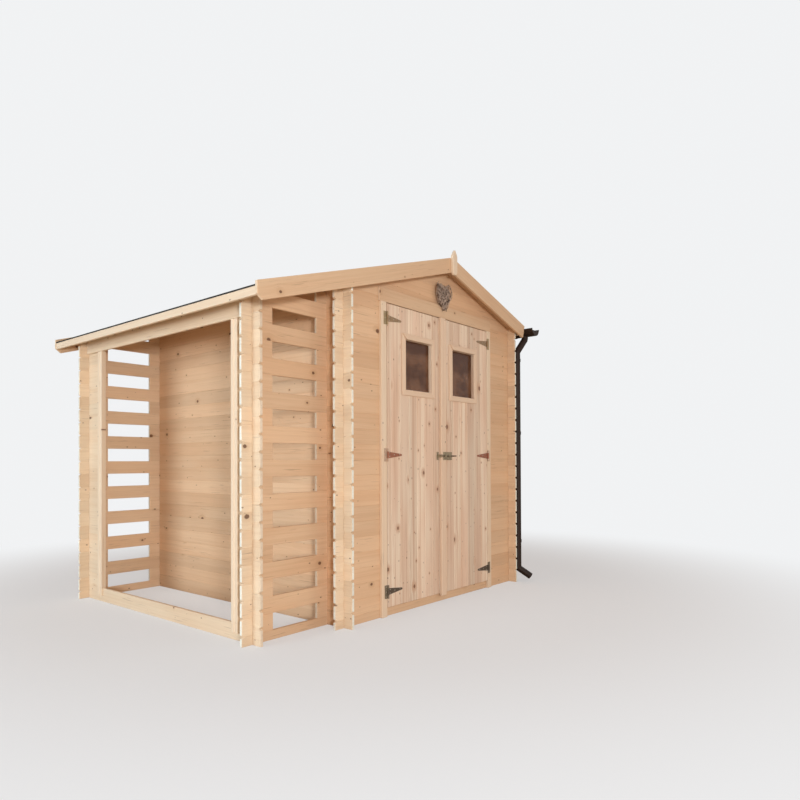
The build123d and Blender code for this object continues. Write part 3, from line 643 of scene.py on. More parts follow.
def crossed(s0, s1, t0, t1, clips, cuts):
    """Outline of a wall board with clipped corners at its projecting ends, and a cut above and below where
    it crosses another wall. cuts holds (start, end, lowest kept, highest kept)."""
    clip_start, clip_end = clips
    points = [(s0, t0 + CLIP_UP), (s0 + CLIP_BACK, t0)] if clip_start and t0 > 0 else [(s0, t0)]
    for start, end, keep_low, keep_high in cuts:
        if keep_low > t0 + TINY:
            points += [(start, t0), (start, keep_low), (end, keep_low), (end, t0)]
    points += [(s1 - CLIP_BACK, t0), (s1, t0 + CLIP_UP)] if clip_end and t0 > 0 else [(s1, t0)]
    points += [(s1, t1 - CLIP_UP), (s1 - CLIP_BACK, t1)] if clip_end else [(s1, t1)]
    for start, end, keep_low, keep_high in cuts[::-1]:
        if keep_high < t1 - TINY:
            points += [(end, t1), (end, keep_high), (start, keep_high), (start, t1)]
    return points + ([(s0 + CLIP_BACK, t1), (s0, t1 - CLIP_UP)] if clip_start else [(s0, t1)])


class Pile:
    """Collects boards of one finish into one piece."""

    def __init__(self, finish):
        self.finish = finish
        self.places, self.faces, self.grain, self.run, self.tone = [], [], [], [], []

    def add(self, mesh, tone=None):
        """Takes in a mesh; a single board gets its own tone here."""
        count = len(mesh.vertices)
        base = sum(len(part) for part in self.tone)
        self.faces += [[base + corner for corner in face.vertices] for face in mesh.polygons]
        places = np.empty(count * 3, np.float32)
        mesh.vertices.foreach_get("co", places)
        self.places.append(places.reshape(-1, 3))
        for name, kept in (("grain", self.grain), ("run", self.run)):
            values = np.empty(count * 3, np.float32)
            mesh.attributes[name].data.foreach_get("vector", values)
            kept.append(values)
        tones = np.full(count, chance.random() if tone is None else tone, np.float32)
        if "tone" in mesh.attributes:
            mesh.attributes["tone"].data.foreach_get("value", tones)
        self.tone.append(tones)
        bpy.data.meshes.remove(mesh)
        return self

    def repeat(self, mesh, count, seed, step=(0, 0, COURSE)):
        """Takes in a row of one board at even steps, made with the Board stack tree."""
        made = grown(bpy.data.objects.new("board", mesh), BOARD_STACK,
                     Count=count, Step=step, Seed=seed, Finish=self.finish)
        bpy.data.meshes.remove(mesh)
        return self.add(made)

    def piece(self, name, body, slot_name, *nodes, planes=()):
        """Makes the object, trims it by planes given as (point, normal), and rides it on its body."""
        mesh = bpy.data.meshes.new(name)
        mesh.from_pydata(np.concatenate(self.places).tolist(), [], self.faces)
        for kind, values in (("grain", self.grain), ("run", self.run)):
            stored = mesh.attributes.new(kind, "FLOAT_VECTOR", "POINT")
            stored.data.foreach_set("vector", np.concatenate(values))
        mesh.attributes.new("tone", "FLOAT", "POINT").data.foreach_set("value", np.concatenate(self.tone))
        if planes:
            shape = bmesh.new()
            shape.from_mesh(mesh)
            for point, normal in planes:
                cut = bmesh.ops.bisect_plane(
                    shape, geom=shape.verts[:] + shape.edges[:] + shape.faces[:],
                    plane_co=point, plane_no=normal, clear_outer=True)
                rim = [item for item in cut["geom_cut"] if isinstance(item, bmesh.types.BMEdge)]
                bmesh.ops.holes_fill(shape, edges=rim, sides=0)
            bmesh.ops.recalc_face_normals(shape, faces=shape.faces)
            shape.to_mesh(mesh)
            shape.free()
        mesh.materials.append(self.finish)
        settle(name, mesh, body, slot_name, *nodes)


def settle(name, mesh, body, slot_name, *nodes):
    """Makes a finished piece, rides it on its body and hides the nodes it stands for; its slot name is not
    used.
    """
    mesh.name = name
    obj = bpy.data.objects.new(name, mesh)
    bpy.context.scene.collection.objects.link(obj)
    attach(obj, body)
    if nodes:
        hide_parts(*nodes)


def roof_at(x, above=0.0):
    """Height of the roof over x: of the roof boards' underside, or so far above it, square to the slope."""
    return RIDGE - RISE * abs(x) + above / COS_TILT


RIDGE_POINT = Vector((0, 0, RIDGE))
roof_left = (RIDGE_POINT, Vector((-RISE, 0, 1)))
roof_right = (RIDGE_POINT, Vector((RISE, 0, 1)))


# Walls of the shed

def cuts_at(t0, *columns):
    """Cuts of a front or rear board with lower joint t0 where other walls cross it."""
    middle = t0 + COURSE - FIRST_JOINT
    low, high = (middle - LAP, middle + LAP) if t0 else (0.0, LAP)
    return [(column, column + WALL, low, high) for column in columns]


def front_board(y, s0, s1, t0, clips, *columns):
    """Board of one course of a wall that faces the front or rear."""
    t1 = t0 + COURSE if t0 else FIRST_JOINT
    return board(crossed(s0, s1, t0, t1, clips, cuts_at(t0, *columns)), 0, WALL, along_x(y))


def side_board(x, s0, s1, t0, clips, columns, higher=0.0):
    """Board of one course of a wall that faces the side."""
    cuts = [(column, column + WALL, t0 + LAP, t0 + COURSE - LAP) for column in columns]
    return board(crossed(s0, s1, t0, t0 + COURSE + higher, clips, cuts), 0, WALL, along_y(x))


courses = int((HEAD - FIRST_JOINT) // COURSE)    # full courses beside the doorway
head_low = FIRST_JOINT + courses * COURSE
head_high = head_low + COURSE
GABLE_COURSES = 4

front = Pile(wall_wood)
front.add(front_board(front_y, wall_end_left, wall_end_right, 0, BOTH, partition_x, right_x))
front.repeat(front_board(front_y, wall_end_left, door_left, FIRST_JOINT, START, partition_x), courses, 3)
front.repeat(front_board(front_y, door_right, wall_end_right, FIRST_JOINT, END, right_x), courses, 4)
# The course at the doorway's head is cut round the doorway, and round the eave board at its right end
cuts = cuts_at(head_low, partition_x, right_x)
cuts.insert(1, (door_left, door_right, HEAD, head_high))
outline = crossed(wall_end_left, wall_end_right, head_low, head_high, BOTH, cuts)
corner = outline.index((wall_end_right, head_high - CLIP_UP))
fascia_low = roof_at(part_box("bargeboards_right")[1].x, DECK) - EAVE_HIGH
fascia_x = eave_right - 0.001
outline[corner:corner + 2] = [(wall_end_right, fascia_low), (fascia_x, fascia_low), (fascia_x, head_high)]
front.add(board(outline, 0, WALL, along_x(front_y)))
front.repeat(front_board(front_y, wall_end_left, eave_right, head_high, START, partition_x, right_x),
             GABLE_COURSES, 5)
front.piece("front_wall_boards", "shed", "spruce_boards", "front_wall_left", "front_wall_right",
            "front_gable", "door_threshold", planes=(roof_left, roof_right))

rear = Pile(wall_wood)
rear.add(front_board(rear_y, partition_x, wall_end_right, 0, END, right_x))
rear.repeat(front_board(rear_y, partition_x, wall_end_right, FIRST_JOINT, END, right_x), courses, 6)
rear.repeat(front_board(rear_y, partition_x, eave_right, head_low, NEITHER, right_x), GABLE_COURSES + 1, 7)
rear.piece("rear_wall_boards", "shed", "spruce_boards", "rear_wall", planes=(roof_left, roof_right))

for x, seed, name, node, plane in (
    (right_x, 8, "right_wall_boards", "right_wall", roof_right),
    (partition_x, 9, "partition_boards", "partition_wall", roof_left),
):
    side = Pile(wall_wood)
    side.add(side_board(x, side_end_front, side_end_rear, 0, BOTH, (front_y, rear_y)))
    side.repeat(side_board(x, side_end_front, side_end_rear, COURSE, BOTH, (front_y, rear_y)), 22, seed)
    side.piece(name, "shed", "spruce_boards", node, planes=(plane,))

# Log store: slotted walls
left_stub_end = store_x + 0.134
right_stub_start = partition_x - 0.080

for y, seed, name in ((store_y, 20, "store_front"), (rear_y, 30, "store_rear")):
    slats = Pile(wall_wood)
    slats.add(front_board(y, store_end_left, partition_x, 0, START, store_x))
    for number, mesh in enumerate((
        front_board(y, store_end_left, partition_x, FIRST_JOINT + COURSE, START, store_x),
        front_board(y, store_end_left, left_stub_end, FIRST_JOINT, START, store_x),
        front_board(y, right_stub_start, partition_x, FIRST_JOINT, NEITHER),
    )):
        slats.repeat(mesh, 11, seed + number, (0, 0, 2 * COURSE))
    slats.piece(name + "_slats", "shed", "spruce_boards", name + "_boards", name + "_stubs",
                planes=(roof_left,))

# Log store: side
LIP = 0.012              # jamb's lip in front of the boards
LIP_WIDE = 0.056
GROOVE_WIDE = 0.016
GROOVE_DEEP = 0.005
GROOVE_SIDE = 0.002      # slant of the groove's sides
WEB = 0.010
jamb_low, jamb_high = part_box("store_jambs")
side_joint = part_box("store_side_stubs")[1].z
stub_count = round((side_joint - COURSE) / COURSE)

stubs = Pile(side_wood_painted_light)
stubs.repeat(side_board(store_x, store_end_front, jamb_low.y + LIP_WIDE - WEB, COURSE, START, (store_y,)),
             stub_count, 12)
stubs.repeat(side_board(store_x, jamb_high.y - LIP_WIDE + WEB, side_end_rear, COURSE, END, (rear_y,)),
             stub_count, 13)
stubs.piece("store_side_short_boards", "shed", "spruce_boards", "store_side_stubs")

rails = Pile(side_wood_painted_light)
for low, higher in ((0, 0.0), (side_joint, 0.02)):
    rails.add(side_board(store_x, store_end_front, side_end_rear, low, BOTH, (store_y, rear_y), higher))
rails.piece("store_sill_and_top_board", "shed", "spruce_boards", "store_side_rails", planes=(roof_left,))

low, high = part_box("store_header")
header = board(rectangle(low.y, high.y, low.z, high.z), 0, high.x - low.x, along_y(low.x), TRIM_EASE)
Pile(side_wood_painted_light).add(header).piece("store_header_board", "shed", "spruce_trim", "store_header")


def jamb_profile(edge, away):
    """Jamb's section in Y and X: a grooved lip outside and a web over the board ends."""
    outer = store_x - LIP
    groove = edge + away * (LIP_WIDE - GROOVE_WIDE) / 2
    far = groove + away * GROOVE_WIDE
    return [
        (edge, store_x + WALL), (edge, outer), (groove, outer),
        (groove + away * GROOVE_SIDE, outer + GROOVE_DEEP), (far - away * GROOVE_SIDE, outer + GROOVE_DEEP),
        (far, outer), (edge + away * LIP_WIDE, outer),
        (edge + away * LIP_WIDE, store_x), (edge + away * WEB, store_x), (edge + away * WEB, store_x + WALL),
    ]


jambs = Pile(trim_wood)
for edge, away in ((jamb_low.y + LIP_WIDE, -1), (jamb_high.y - LIP_WIDE, 1)):
    section = jamb_profile(edge, away)
    jambs.add(standing(section, COURSE, jamb_high.z, 0.001), 0.75)
    jambs.add(standing(section[1:8] + [(edge, store_x)], jamb_low.z, COURSE, 0), 0.75)
jambs.piece("store_jamb_boards", "shed", "spruce_trim", "store_jambs")

# Roof
DECK_BOARD = 0.095
OVERLENGTH = 0.02        # what the cut at ridge and eave takes off
roof_front, roof_rear = (corner.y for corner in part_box("roof_boards_left"))


def slope(side):
    """Directions down one slope of the roof and square to it."""
    return Vector((side * COS_TILT, 0, -SIN_TILT)), Vector((side * SIN_TILT, 0, COS_TILT))


for side, node, seed in ((-1, "roof_boards_left", 40), (1, "roof_boards_right", 41)):
    eave = max(abs(corner.x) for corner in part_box(node))
    down, up = slope(side)
    count = int((roof_rear - roof_front) / DECK_BOARD)
    cover = (roof_rear - roof_front) / count
    outline = rectangle(-OVERLENGTH, eave / COS_TILT + OVERLENGTH, roof_front, roof_front + cover)
    mesh = board(outline, 0, DECK, (RIDGE_POINT, down, Y_AXIS, up), 0.0012)
    Pile(inside_wood).repeat(mesh, count, seed, (0, cover, 0)).piece(
        node + "_decking", "shed", "rough_wood", node,
        planes=[(ORIGIN, Vector((-side, 0, 0))), (Vector((side * eave, 0, 0)), Vector((side, 0, 0)))])

# Felt: strips laid along the roof, each lapping the one below it
FELT = 0.004
FELT_TURN = 0.003        # depth and thickness of the turned-down edge
LAP_STEP = 0.0014
felt = bmesh.new()


def felt_slope(side, edge, laps):
    """Strips on one slope as one stepped sheet with a turned-down edge."""
    down, up = slope(side)
    length = edge / COS_TILT
    outline = []
    for lap in range(laps):
        for number, sunk in ((lap, LAP_STEP if lap else 0), (lap + 1, 0)):
            outline.append(RIDGE_POINT + down * (length * number / laps) + up * (DECK + FELT - sunk))
    outline[0] = Vector((0, 0, roof_at(0, DECK + FELT)))
    outline[-1] = Vector((side * edge, 0, roof_at(edge, DECK + FELT)))
    inner = edge - FELT_TURN
    under = roof_at(edge, DECK) - FELT_TURN
    for x, z in ((edge, under), (inner, under), (inner, roof_at(inner, DECK)), (0, roof_at(0, DECK))):
        outline.append(Vector((side * x, 0, z)))
    front_loop, rear_loop = (
        [felt.verts.new((point.x, y, point.z)) for point in outline] for y in (roof_front, roof_rear))
    felt.faces.new(front_loop)
    felt.faces.new(rear_loop[::-1])
    for number in range(len(outline)):
        following = (number + 1) % len(outline)
        felt.faces.new((front_loop[number], rear_loop[number], rear_loop[following], front_loop[following]))


felt_slope(-1, -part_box("roofing_felt")[0].x, 3)
felt_slope(1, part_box("roofing_felt")[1].x, 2)
bmesh.ops.recalc_face_normals(felt, faces=felt.faces)
felt_mesh = bpy.data.meshes.new("felt_strips")
felt.to_mesh(felt_mesh)
felt.free()
felt_mesh.materials.append(felt_finish)
settle("felt_strips", felt_mesh, "shed", "roofing_felt", "roofing_felt")

# Bargeboards, eave boards, finials and the beams under the roof
BARGE_HIGH = 0.10
BARGE_HEEL = 0.036
BARGE_HEEL_RISE = 0.028
BARGE_CUT = 0.025        # lean of the right ends
FASCIA = 0.018
FINIAL_FOOT = 0.015
FINIAL_POINT = 0.040
barge_low, barge_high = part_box("bargeboards_left")
barge_top = barge_high.z
left_end, right_end = barge_low.x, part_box("bargeboards_right")[1].x


def sloped(side, points):
    """Outline in lengths down the slope and heights square to it, from points in X and Z."""
    result = []
    for x, z in points:
        run, drop = side * x, z - barge_top
        result.append((run * COS_TILT - drop * SIN_TILT, run * SIN_TILT + drop * COS_TILT))
    return result


barges = Pile(barge_wood)
heel, toe = left_end + BARGE_HEEL, right_end - BARGE_CUT
foot = barge_top + RISE * heel - BARGE_HIGH
left_points = [(0, barge_top), (left_end, barge_top + RISE * left_end), (left_end, foot + BARGE_HEEL_RISE),
               (heel, foot), (0, barge_top - BARGE_HIGH)]
right_points = [(0, barge_top), (right_end, barge_top - RISE * right_end),
                (toe, barge_top - RISE * toe - BARGE_HIGH), (0, barge_top - BARGE_HIGH)]
for y0, y1 in ((barge_low.y, roof_front), (roof_rear, barge_high.y)):
    for side, points, tone in ((-1, left_points, 0.45), (1, right_points, 0.4)):
        how = (Vector((0, y0, barge_top)), slope(side)[0], slope(side)[1], Y_AXIS)
        barges.add(board(sloped(side, points), 0, y1 - y0, how, TRIM_EASE), tone)
barges.piece("barge_boards", "shed", "spruce_trim", "bargeboards_left", "bargeboards_right")

fascias = Pile(trim_wood)
for side, inner in ((-1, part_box("roof_boards_left")[0].x), (1, eave_right)):
    outer = inner + side * FASCIA
    top = roof_at(outer, DECK)
    points = [(inner, top - EAVE_HIGH), (outer, top - EAVE_HIGH), (outer, top), (inner, roof_at(inner, DECK))]
    fascias.add(length_of(points, roof_front, roof_rear, 0.001), 0.6)
fascias.piece("eave_boards", "shed", "spruce_trim", "eave_fascias")

finial = Pile(trim_wood)
low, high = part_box("finials")
half = (high.x - low.x) / 2
for y0, y1 in ((low.y, barge_low.y), (barge_high.y, high.y)):
    outline = [
        (low.z, -half / 2), (low.z + FINIAL_FOOT, -half), (high.z - FINIAL_POINT, -half), (high.z, 0),
        (high.z - FINIAL_POINT, half), (low.z + FINIAL_FOOT, half), (low.z, half / 2),
    ]
    finial.add(board(outline, 0, y1 - y0, upright(y0), 0.0025), 0.95)
finial.piece("gable_finials", "shed", "spruce_trim", "finials")

PURLIN = 0.045
low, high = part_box("ridge_beam")
side_top = roof_at(high.x)
ridge = [(low.x, low.z), (high.x, low.z), (high.x, side_top), (0, RIDGE), (low.x, side_top)]
low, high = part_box("purlins")
inner, outer = high.x - PURLIN, high.x
purlin = [(inner, low.z), (outer, low.z), (outer, roof_at(outer)), (inner, roof_at(inner))]
for name, node, sections in (
    ("ridge_beam_timber", "ridge_beam", [ridge]),
    ("purlin_timbers", "purlins", [purlin, [(-x, z) for x, z in purlin]]),
):
    low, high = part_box(node)
    beams = Pile(inside_wood)
    for section in sections:
        beams.add(length_of(section, low.y, high.y, TRIM_EASE))
    beams.piece(name, "shed", "rough_wood", node)

# Floor
JOIST = 0.05
FLOOR_BOARDS = 20
JOISTS = 5
low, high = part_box("floor_boards")
cover = (high.y - low.y) / FLOOR_BOARDS
joist_low, joist_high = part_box("floor_joists")
joist_step = (joist_high.y - joist_low.y - JOIST) / (JOISTS - 1)
for name, node, count, seed, step, wide, ease in (
    ("floor_boarding", "floor_boards", FLOOR_BOARDS, 50, cover, cover - GAP, EASE),
    ("joist_timbers", "floor_joists", JOISTS, 51, joist_step, JOIST, TRIM_EASE),
):
    low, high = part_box(node)
    mesh = board(rectangle(low.x, high.x, low.y, low.y + wide), low.z, high.z, FLAT, ease)
    Pile(inside_wood).repeat(mesh, count, seed, (0, step, 0)).piece(name, "shed", "rough_wood", node)

# Doorway trim
low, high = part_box("door_jambs")
trims = Pile(trim_wood)
for x0, x1 in ((low.x, door_left), (door_right, high.x)):
    trims.add(board(rectangle(low.z, high.z, x0, x1), 0, high.y - low.y, upright(low.y), TRIM_EASE), 0.8)
trims.piece("doorway_side_trim", "shed", "spruce_trim", "door_jambs")
low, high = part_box("door_head_trim")
mesh = board(rectangle(low.x, high.x, low.z, high.z), 0, high.y - low.y, along_x(low.y), TRIM_EASE)
Pile(barge_wood).add(mesh, 0.3).piece("doorway_head_trim", "shed", "spruce_trim", "door_head_trim")

# Door leaves
LEAF = 0.020
LEAF_EASE = 0.0022
DOOR_BOARD = 0.084
FIRST_DOOR_BOARD = 0.036
LEDGE = 0.018
LEDGE_IN = 0.045
LEDGE_HIGH = 0.09
LEDGE_AT = (0.052, 0.50, 0.95)
REBATE = 0.006           # how far the pane reaches under the frame


def window_hole(side):
    """Hole that a window frame leaves open, as two X and two Z."""
    low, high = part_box("window_pane_" + side)
    return (low.x + REBATE, high.x - REBATE), (low.z + REBATE, high.z - REBATE)


def leaf(side, edges):
    """Upright tongued boards cut round the window, with ledges behind."""
    node = "door_leaf_" + side
    low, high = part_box(node)
    hole_x, (hole_low, hole_high) = window_hole(side)
    pile = Pile(door_wood)
    for x0, x1 in zip(edges[:-1], edges[1:]):
        a, b = x0 + GAP / 2, x1 - GAP / 2
        if b <= hole_x[0] or a >= hole_x[1]:
            outlines = [rectangle(low.z, high.z, a, b)]
        elif a >= hole_x[0] and b <= hole_x[1]:
            outlines = [rectangle(low.z, hole_low, a, b), rectangle(hole_high, high.z, a, b)]
        else:
            far, near, edge = (a, b, hole_x[0]) if a < hole_x[0] else (b, a, hole_x[1])
            outlines = [[(low.z, far), (low.z, near), (hole_low, near), (hole_low, edge),
                         (hole_high, edge), (hole_high, near), (high.z, near), (high.z, far)]]
        for outline in outlines:
            pile.add(board(outline, 0, LEAF, upright(low.y), LEAF_EASE))
    for share in LEDGE_AT:
        foot = low.z + share * (high.z - low.z) - LEDGE_HIGH / 2
        outline = rectangle(low.x + LEDGE_IN, high.x - LEDGE_IN, foot, foot + LEDGE_HIGH)
        pile.add(board(outline, 0, LEDGE, along_x(low.y + LEAF), TRIM_EASE))
    pile.piece(node + "_boards", side + "_leaf", "door_wood", node)


low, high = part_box("door_leaf_left")
first_edge = low.x + FIRST_DOOR_BOARD
leaf("left", [low.x] + [first_edge + number * DOOR_BOARD for number in range(6)] + [high.x])
low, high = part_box("door_leaf_right")
cover = (high.x - low.x) / 7
leaf("right", [low.x + number * cover for number in range(8)])

# Window frames: mitred, with a thicker head
FRAME_THICK = 0.010
FRAME_EASE = 0.0025


def window(side):
    """Frame round a door window."""
    node = "window_frame_" + side
    low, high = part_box(node)
    (inner_left, inner_right), (inner_low, inner_high) = window_hole(side)
    face = front_y - LEAF - FRAME_THICK
    pile = Pile(frame_wood)
    foot = [(low.x, low.z), (high.x, low.z), (inner_right, inner_low), (inner_left, inner_low)]
    pile.add(board(foot, 0, FRAME_THICK, along_x(face), FRAME_EASE), 0.5)
    for outer, inner in ((low.x, inner_left), (high.x, inner_right)):
        outline = [(low.z, outer), (inner_low, inner), (inner_high, inner), (high.z, outer)]
        pile.add(board(outline, 0, FRAME_THICK, upright(face), FRAME_EASE), 0.8)
    head = [(low.x, high.z), (high.x, high.z), (inner_right, inner_high), (inner_left, inner_high)]
    pile.add(board(head, 0, face + FRAME_THICK - low.y, along_x(low.y), 0.003), 0.6)
    pile.piece(node + "_boards", side + "_leaf", "spruce_trim", node)


window("left")
window("right")

COVER_WIDE = 0.054
low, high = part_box("door_cover_strip")
pad_low, pad_high = (corner.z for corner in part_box("bolt_guides"))
strip_right = low.x + COVER_WIDE
outline = [(low.z, low.x), (high.z, low.x), (high.z, strip_right), (pad_high, strip_right),
           (pad_high, high.x), (pad_low, high.x), (pad_low, strip_right), (low.z, strip_right)]
mesh = board(outline, 0, high.y - low.y, upright(low.y), 0.003)
Pile(frame_wood).add(mesh, 0.8).piece("door_cover_board", "right_leaf", "door_wood", "door_cover_strip")

# Panes, metal and plastic nodes keep their CAD shape
for finish, nodes in (
    (pane_finish, ("window_pane_left", "window_pane_right")), (plate_finish, ("hinge_plates",)),
    (strap_finish, ("hinge_straps_left", "hinge_straps_right")), (rod_finish, ("bolt_rod",)),
    (steel_finish, ("bolt_guides", "bolt_keeper")),
    (brown_finish, ("gutter", "gutter_brackets", "downpipe", "pipe_clips")),
):
    for node in nodes:
        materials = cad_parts[node].data.materials
        materials.clear()
        materials.append(finish)

# Screws of the hinges
SCREW_RINGS = ((0.0040, 0.0), (0.0040, -0.0006), (0.0033, -0.0014), (0.0018, -0.0019))   # radius and Y
SCREW_SIDES = 12
SCREW_SCALE = 0.85
PLATE = 0.0025


def screw_head():
    """Domed screw head, facing the front."""
    shape = bmesh.new()
    turns = [math.tau * number / SCREW_SIDES for number in range(SCREW_SIDES)]
    loops = [[shape.verts.new((radius * math.cos(a), y, radius * math.sin(a))) for a in turns]
             for radius, y in SCREW_RINGS]
    for low, high in zip(loops[:-1], loops[1:]):
        for number in range(SCREW_SIDES):
            following = (number + 1) % SCREW_SIDES
            shape.faces.new((low[number], low[following], high[following], high[number]))
    shape.faces.new(loops[0][::-1])
    shape.faces.new(loops[-1])
    bmesh.ops.recalc_face_normals(shape, faces=shape.faces)
    mesh = bpy.data.meshes.new("screw_head")
    shape.to_mesh(mesh)
    shape.free()
    return bpy.data.objects.new("screw_head", mesh)


def screws(name, points, body, seed):
    """Screw heads at points, all facing the front."""
    head = screw_head()
    mesh = bpy.data.meshes.new("points")
    mesh.from_pydata(points, [], [])
    made = grown(bpy.data.objects.new("points", mesh), HEADS,
                 Head=head, Scale=SCREW_SCALE, Seed=seed, Finish=screw_finish)
    for spare in (head.data, mesh):
        bpy.data.meshes.remove(spare)
    settle(name, made, body, "bronzed_metal")


low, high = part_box("hinge_plates")
levels = (low.z + 0.04, (low.z + high.z) / 2, high.z - 0.04)
face = front_y - LEAF - PLATE
screws("hinge_plate_screws", [
    (x, face, level + up)
    for level in levels for x in (low.x + 0.012, high.x - 0.012) for up in (-0.03, 0.0, 0.03)
], "shed", 70)
for side, sign, start in (("left", 1, door_left), ("right", -1, door_right)):
    screws("hinge_strap_screws_" + side, [
        (start + sign * along, face, level + up)
        for level in levels for along, up in ((0.022, 0.011), (0.022, -0.011), (0.065, 0), (0.115, 0))
    ], side + "_leaf", 71)

# Wicker heart
RIM_TWIGS = 46
FILL_TWIGS = 170
TWIG_RADIUS = 0.0019
heart_low, heart_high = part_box("heart_ornament")
heart_back = front_y - 0.0155
twigs = random.Random(5)


def heart_point(angle, size, depth):
    """Point on a heart of a size from 0 to 1, at a depth from its back."""
    x = math.copysign(abs(math.sin(angle)) ** 1.5, math.sin(angle))
    z = (26 * math.cos(angle) - 8 * math.cos(2 * angle) - 3 * math.cos(3 * angle) - math.cos(4 * angle)) / 32
    foot, top, middle = -1.0, 0.676, 0.42
    z = middle + ((z - foot) / (top - foot) - middle) * size
    mid_x, half = (heart_low.x + heart_high.x) / 2, (heart_high.x - heart_low.x) / 2
    return (mid_x + x * size * half * 0.97, heart_back - depth * (heart_back - heart_low.y),
            heart_low.z + 0.004 + z * (heart_high.z - heart_low.z - 0.008))


def held(value, low, high):
    """Value kept between two bounds."""
    return min(max(value, low), high)


paths = []
for number in range(RIM_TWIGS):
    size = twigs.uniform(0.55, 0.97)
    depth = twigs.uniform(0.05, 0.6) + 0.35 * (1 - size)
    start = twigs.uniform(0, math.tau)
    length = twigs.uniform(0.9, 2.4)
    drift = twigs.uniform(-0.12, 0.12)
    wave = twigs.uniform(0, math.tau)
    path = []
    for share in (step / 14 for step in range(15)):
        swing = min(size + drift * share + 0.02 * math.sin(wave + share * 9), 0.985)
        sunk = min(depth + 0.12 * math.sin(wave + share * 6), 0.95)
        path.append(heart_point(start + length * share, swing, sunk))
    paths.append(path)
for number in range(FILL_TWIGS):
    angle = twigs.uniform(0, math.tau)
    size = twigs.uniform(0.0, 0.86)
    depth = twigs.uniform(0.1, 0.9) * (1 - 0.45 * size)
    centre = Vector(heart_point(angle, size, depth))
    lean = twigs.gauss(math.pi / 2, 0.65)
    reach = twigs.uniform(0.014, 0.034)
    sag = twigs.uniform(-0.006, 0.006)
    path = []
    for share in (step / 5 - 0.5 for step in range(6)):
        offset = Vector((math.cos(lean), 0, math.sin(lean))) * reach * share * 2
        bow = Vector((-math.sin(lean), 0, math.cos(lean))) * sag * (1 - 4 * share * share)
        place = centre + offset + bow
        path.append((held(place.x, heart_low.x + 0.003, heart_high.x - 0.003),
                     held(place.y, heart_low.y + 0.003, heart_back - 0.002),
                     held(place.z, heart_low.z + 0.003, heart_high.z - 0.003)))
    paths.append(path)
curve = bpy.data.curves.new("twig_paths", "CURVE")
curve.dimensions = "3D"
for path in paths:
    spline = curve.splines.new("POLY")
    spline.points.add(len(path) - 1)
    for point, place in zip(spline.points, path):
        point.co = (*place, 1.0)
made = grown(bpy.data.objects.new("twig_paths", curve), TWIGS, Radius=TWIG_RADIUS, Sides=6, Finish=twig_wood)
settle("wicker_heart", made, "shed", "wicker", "heart_ornament")

# Bare studio
BACKDROP = (0.88, 0.89, 0.90)
FLOOR_SEEN = (0.84, 0.85, 0.87)      # floor as the camera sees it
FLOOR_THROWN = (0.60, 0.51, 0.40)    # what it throws back onto the shed
FLOOR_FADE = (1.9, 4.6)              # where the floor runs into the backdrop, from the middle
AMBIENT = (1.22, 1.0, 0.86)
floor_mesh = bpy.data.meshes.new("studio_floor")
floor_mesh.from_pydata([(-40, -40, 0), (40, -40, 0), (40, 40, 0), (-40, 40, 0)], [], [(0, 1, 2, 3)])
studio_floor = bpy.data.objects.new("studio_floor", floor_mesh)
bpy.context.scene.collection.objects.link(studio_floor)
floor_finish, add = blank("Studio floor")
far_off = vectors(add, "LENGTH", add("ShaderNodeTexCoord").outputs["Object"], out=1)
seen = Value(add("ShaderNodeLightPath").outputs["Is Camera Ray"])
edge = far_off.ramp(*FLOOR_FADE).fitted(0.55, 0.45) * seen
matt = add("ShaderNodeBsdfDiffuse", {"Color": blended(add, seen, FLOOR_THROWN, FLOOR_SEEN)})
glow = add("ShaderNodeEmission", {"Color": BACKDROP, "Strength": 1.0})
both = add("ShaderNodeMixShader", {0: edge, 1: matt.outputs[0], 2: glow.outputs[0]})
add("ShaderNodeOutputMaterial", {"Surface": both.outputs[0]})
floor_mesh.materials.append(floor_finish)
studio_floor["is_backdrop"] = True

world = bpy.data.worlds.new("studio")
bpy.context.scene.world = world
world.use_nodes = True
world.node_tree.nodes.clear()
add = adder(world.node_tree)
rays = add("ShaderNodeLightPath").outputs
shown = Value(rays["Is Camera Ray"]).then("ADD", rays["Is Glossy Ray"], clamp=True)
shown = shown.then("ADD", rays["Is Transmission Ray"], clamp=True)
ambient = add("ShaderNodeBackground", {"Color": AMBIENT, "Strength": 0.36})
backdrop = add("ShaderNodeBackground", {"Color": BACKDROP, "Strength": 1.0})
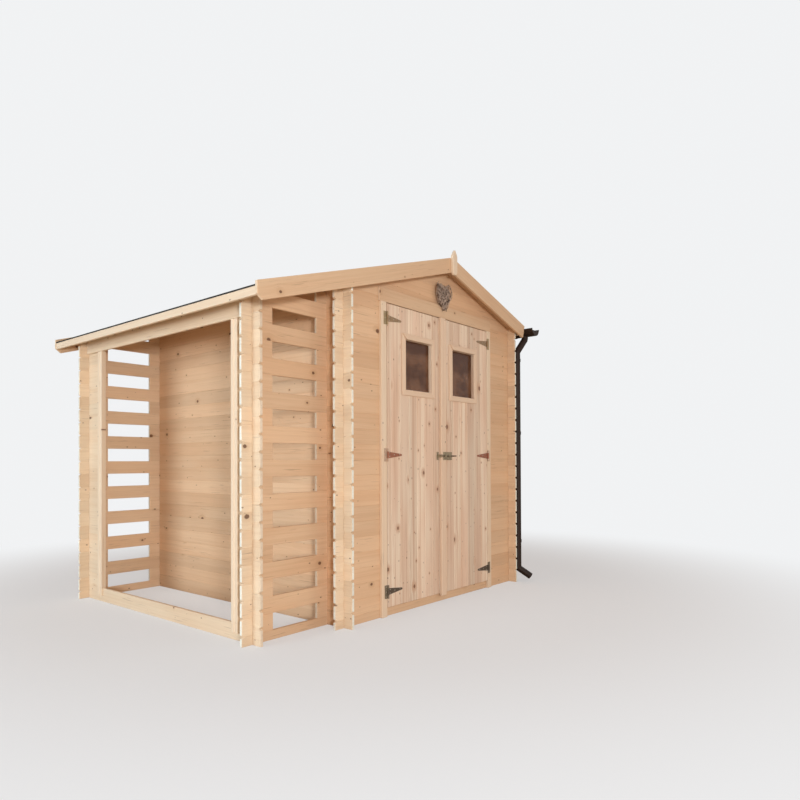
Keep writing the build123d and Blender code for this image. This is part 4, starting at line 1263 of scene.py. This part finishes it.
both = add("ShaderNodeMixShader", {0: shown, 1: ambient.outputs[0], 2: backdrop.outputs[0]})
add("ShaderNodeOutputWorld", {"Surface": both.outputs[0]})


def lamp(name, place, target, power, size, colour):
    """Soft square lamp aimed at a point."""
    data = bpy.data.lights.new(name, "AREA")
    data.energy = power
    data.size = size
    data.color = colour
    obj = bpy.data.objects.new(name, data)
    obj.location = place
    obj.rotation_mode = "QUATERNION"
    obj.rotation_quaternion = (Vector(target) - Vector(place)).to_track_quat("-Z", "Y")
    bpy.context.scene.collection.objects.link(obj)


lamp("key_softbox", (-4.6, -6.15, 1.13), (-0.6, -0.8, 1.0), 198, 0.6, (1.0, 1.0, 1.0))
lamp("left_softbox", (-8.5, 0.8, 1.15), (-0.8, 0.0, 1.0), 330, 3.6, (0.84, 1.0, 1.10))
lamp("front_softbox", (2.2, -6.0, 1.5), (0.3, -1.0, 1.2), 26, 2.5, (1.06, 1.0, 0.94))

# Camera at the photographed angle
CAMERA_PLACE = (-3.4790, -3.5430, 0.9342)
YAW = 0.8761
PITCH = 0.0095
ROLL = -0.0041
SENSOR = 36.0
FOCAL_WIDTHS = 636.6565 / 800
PRINCIPAL_DROP = 56.1925 / 800
ahead = Vector((math.sin(YAW) * math.cos(PITCH), math.cos(YAW) * math.cos(PITCH), math.sin(PITCH)))
level_right = Vector((math.cos(YAW), -math.sin(YAW), 0))
level_up = level_right.cross(ahead)
right = level_right * math.cos(ROLL) + level_up * math.sin(ROLL)
up = level_up * math.cos(ROLL) - level_right * math.sin(ROLL)
camera_data = bpy.data.cameras.new("camera")
camera_data.sensor_width = SENSOR
camera_data.lens = SENSOR * FOCAL_WIDTHS
camera_data.shift_y = PRINCIPAL_DROP
camera = bpy.data.objects.new("camera", camera_data)
camera.matrix_world = Matrix((*zip(right, up, -ahead, CAMERA_PLACE), (0, 0, 0, 1)))
bpy.context.scene.collection.objects.link(camera)
bpy.context.scene.camera = camera
bpy.context.scene.view_settings.view_transform = "Standard"

low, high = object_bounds()
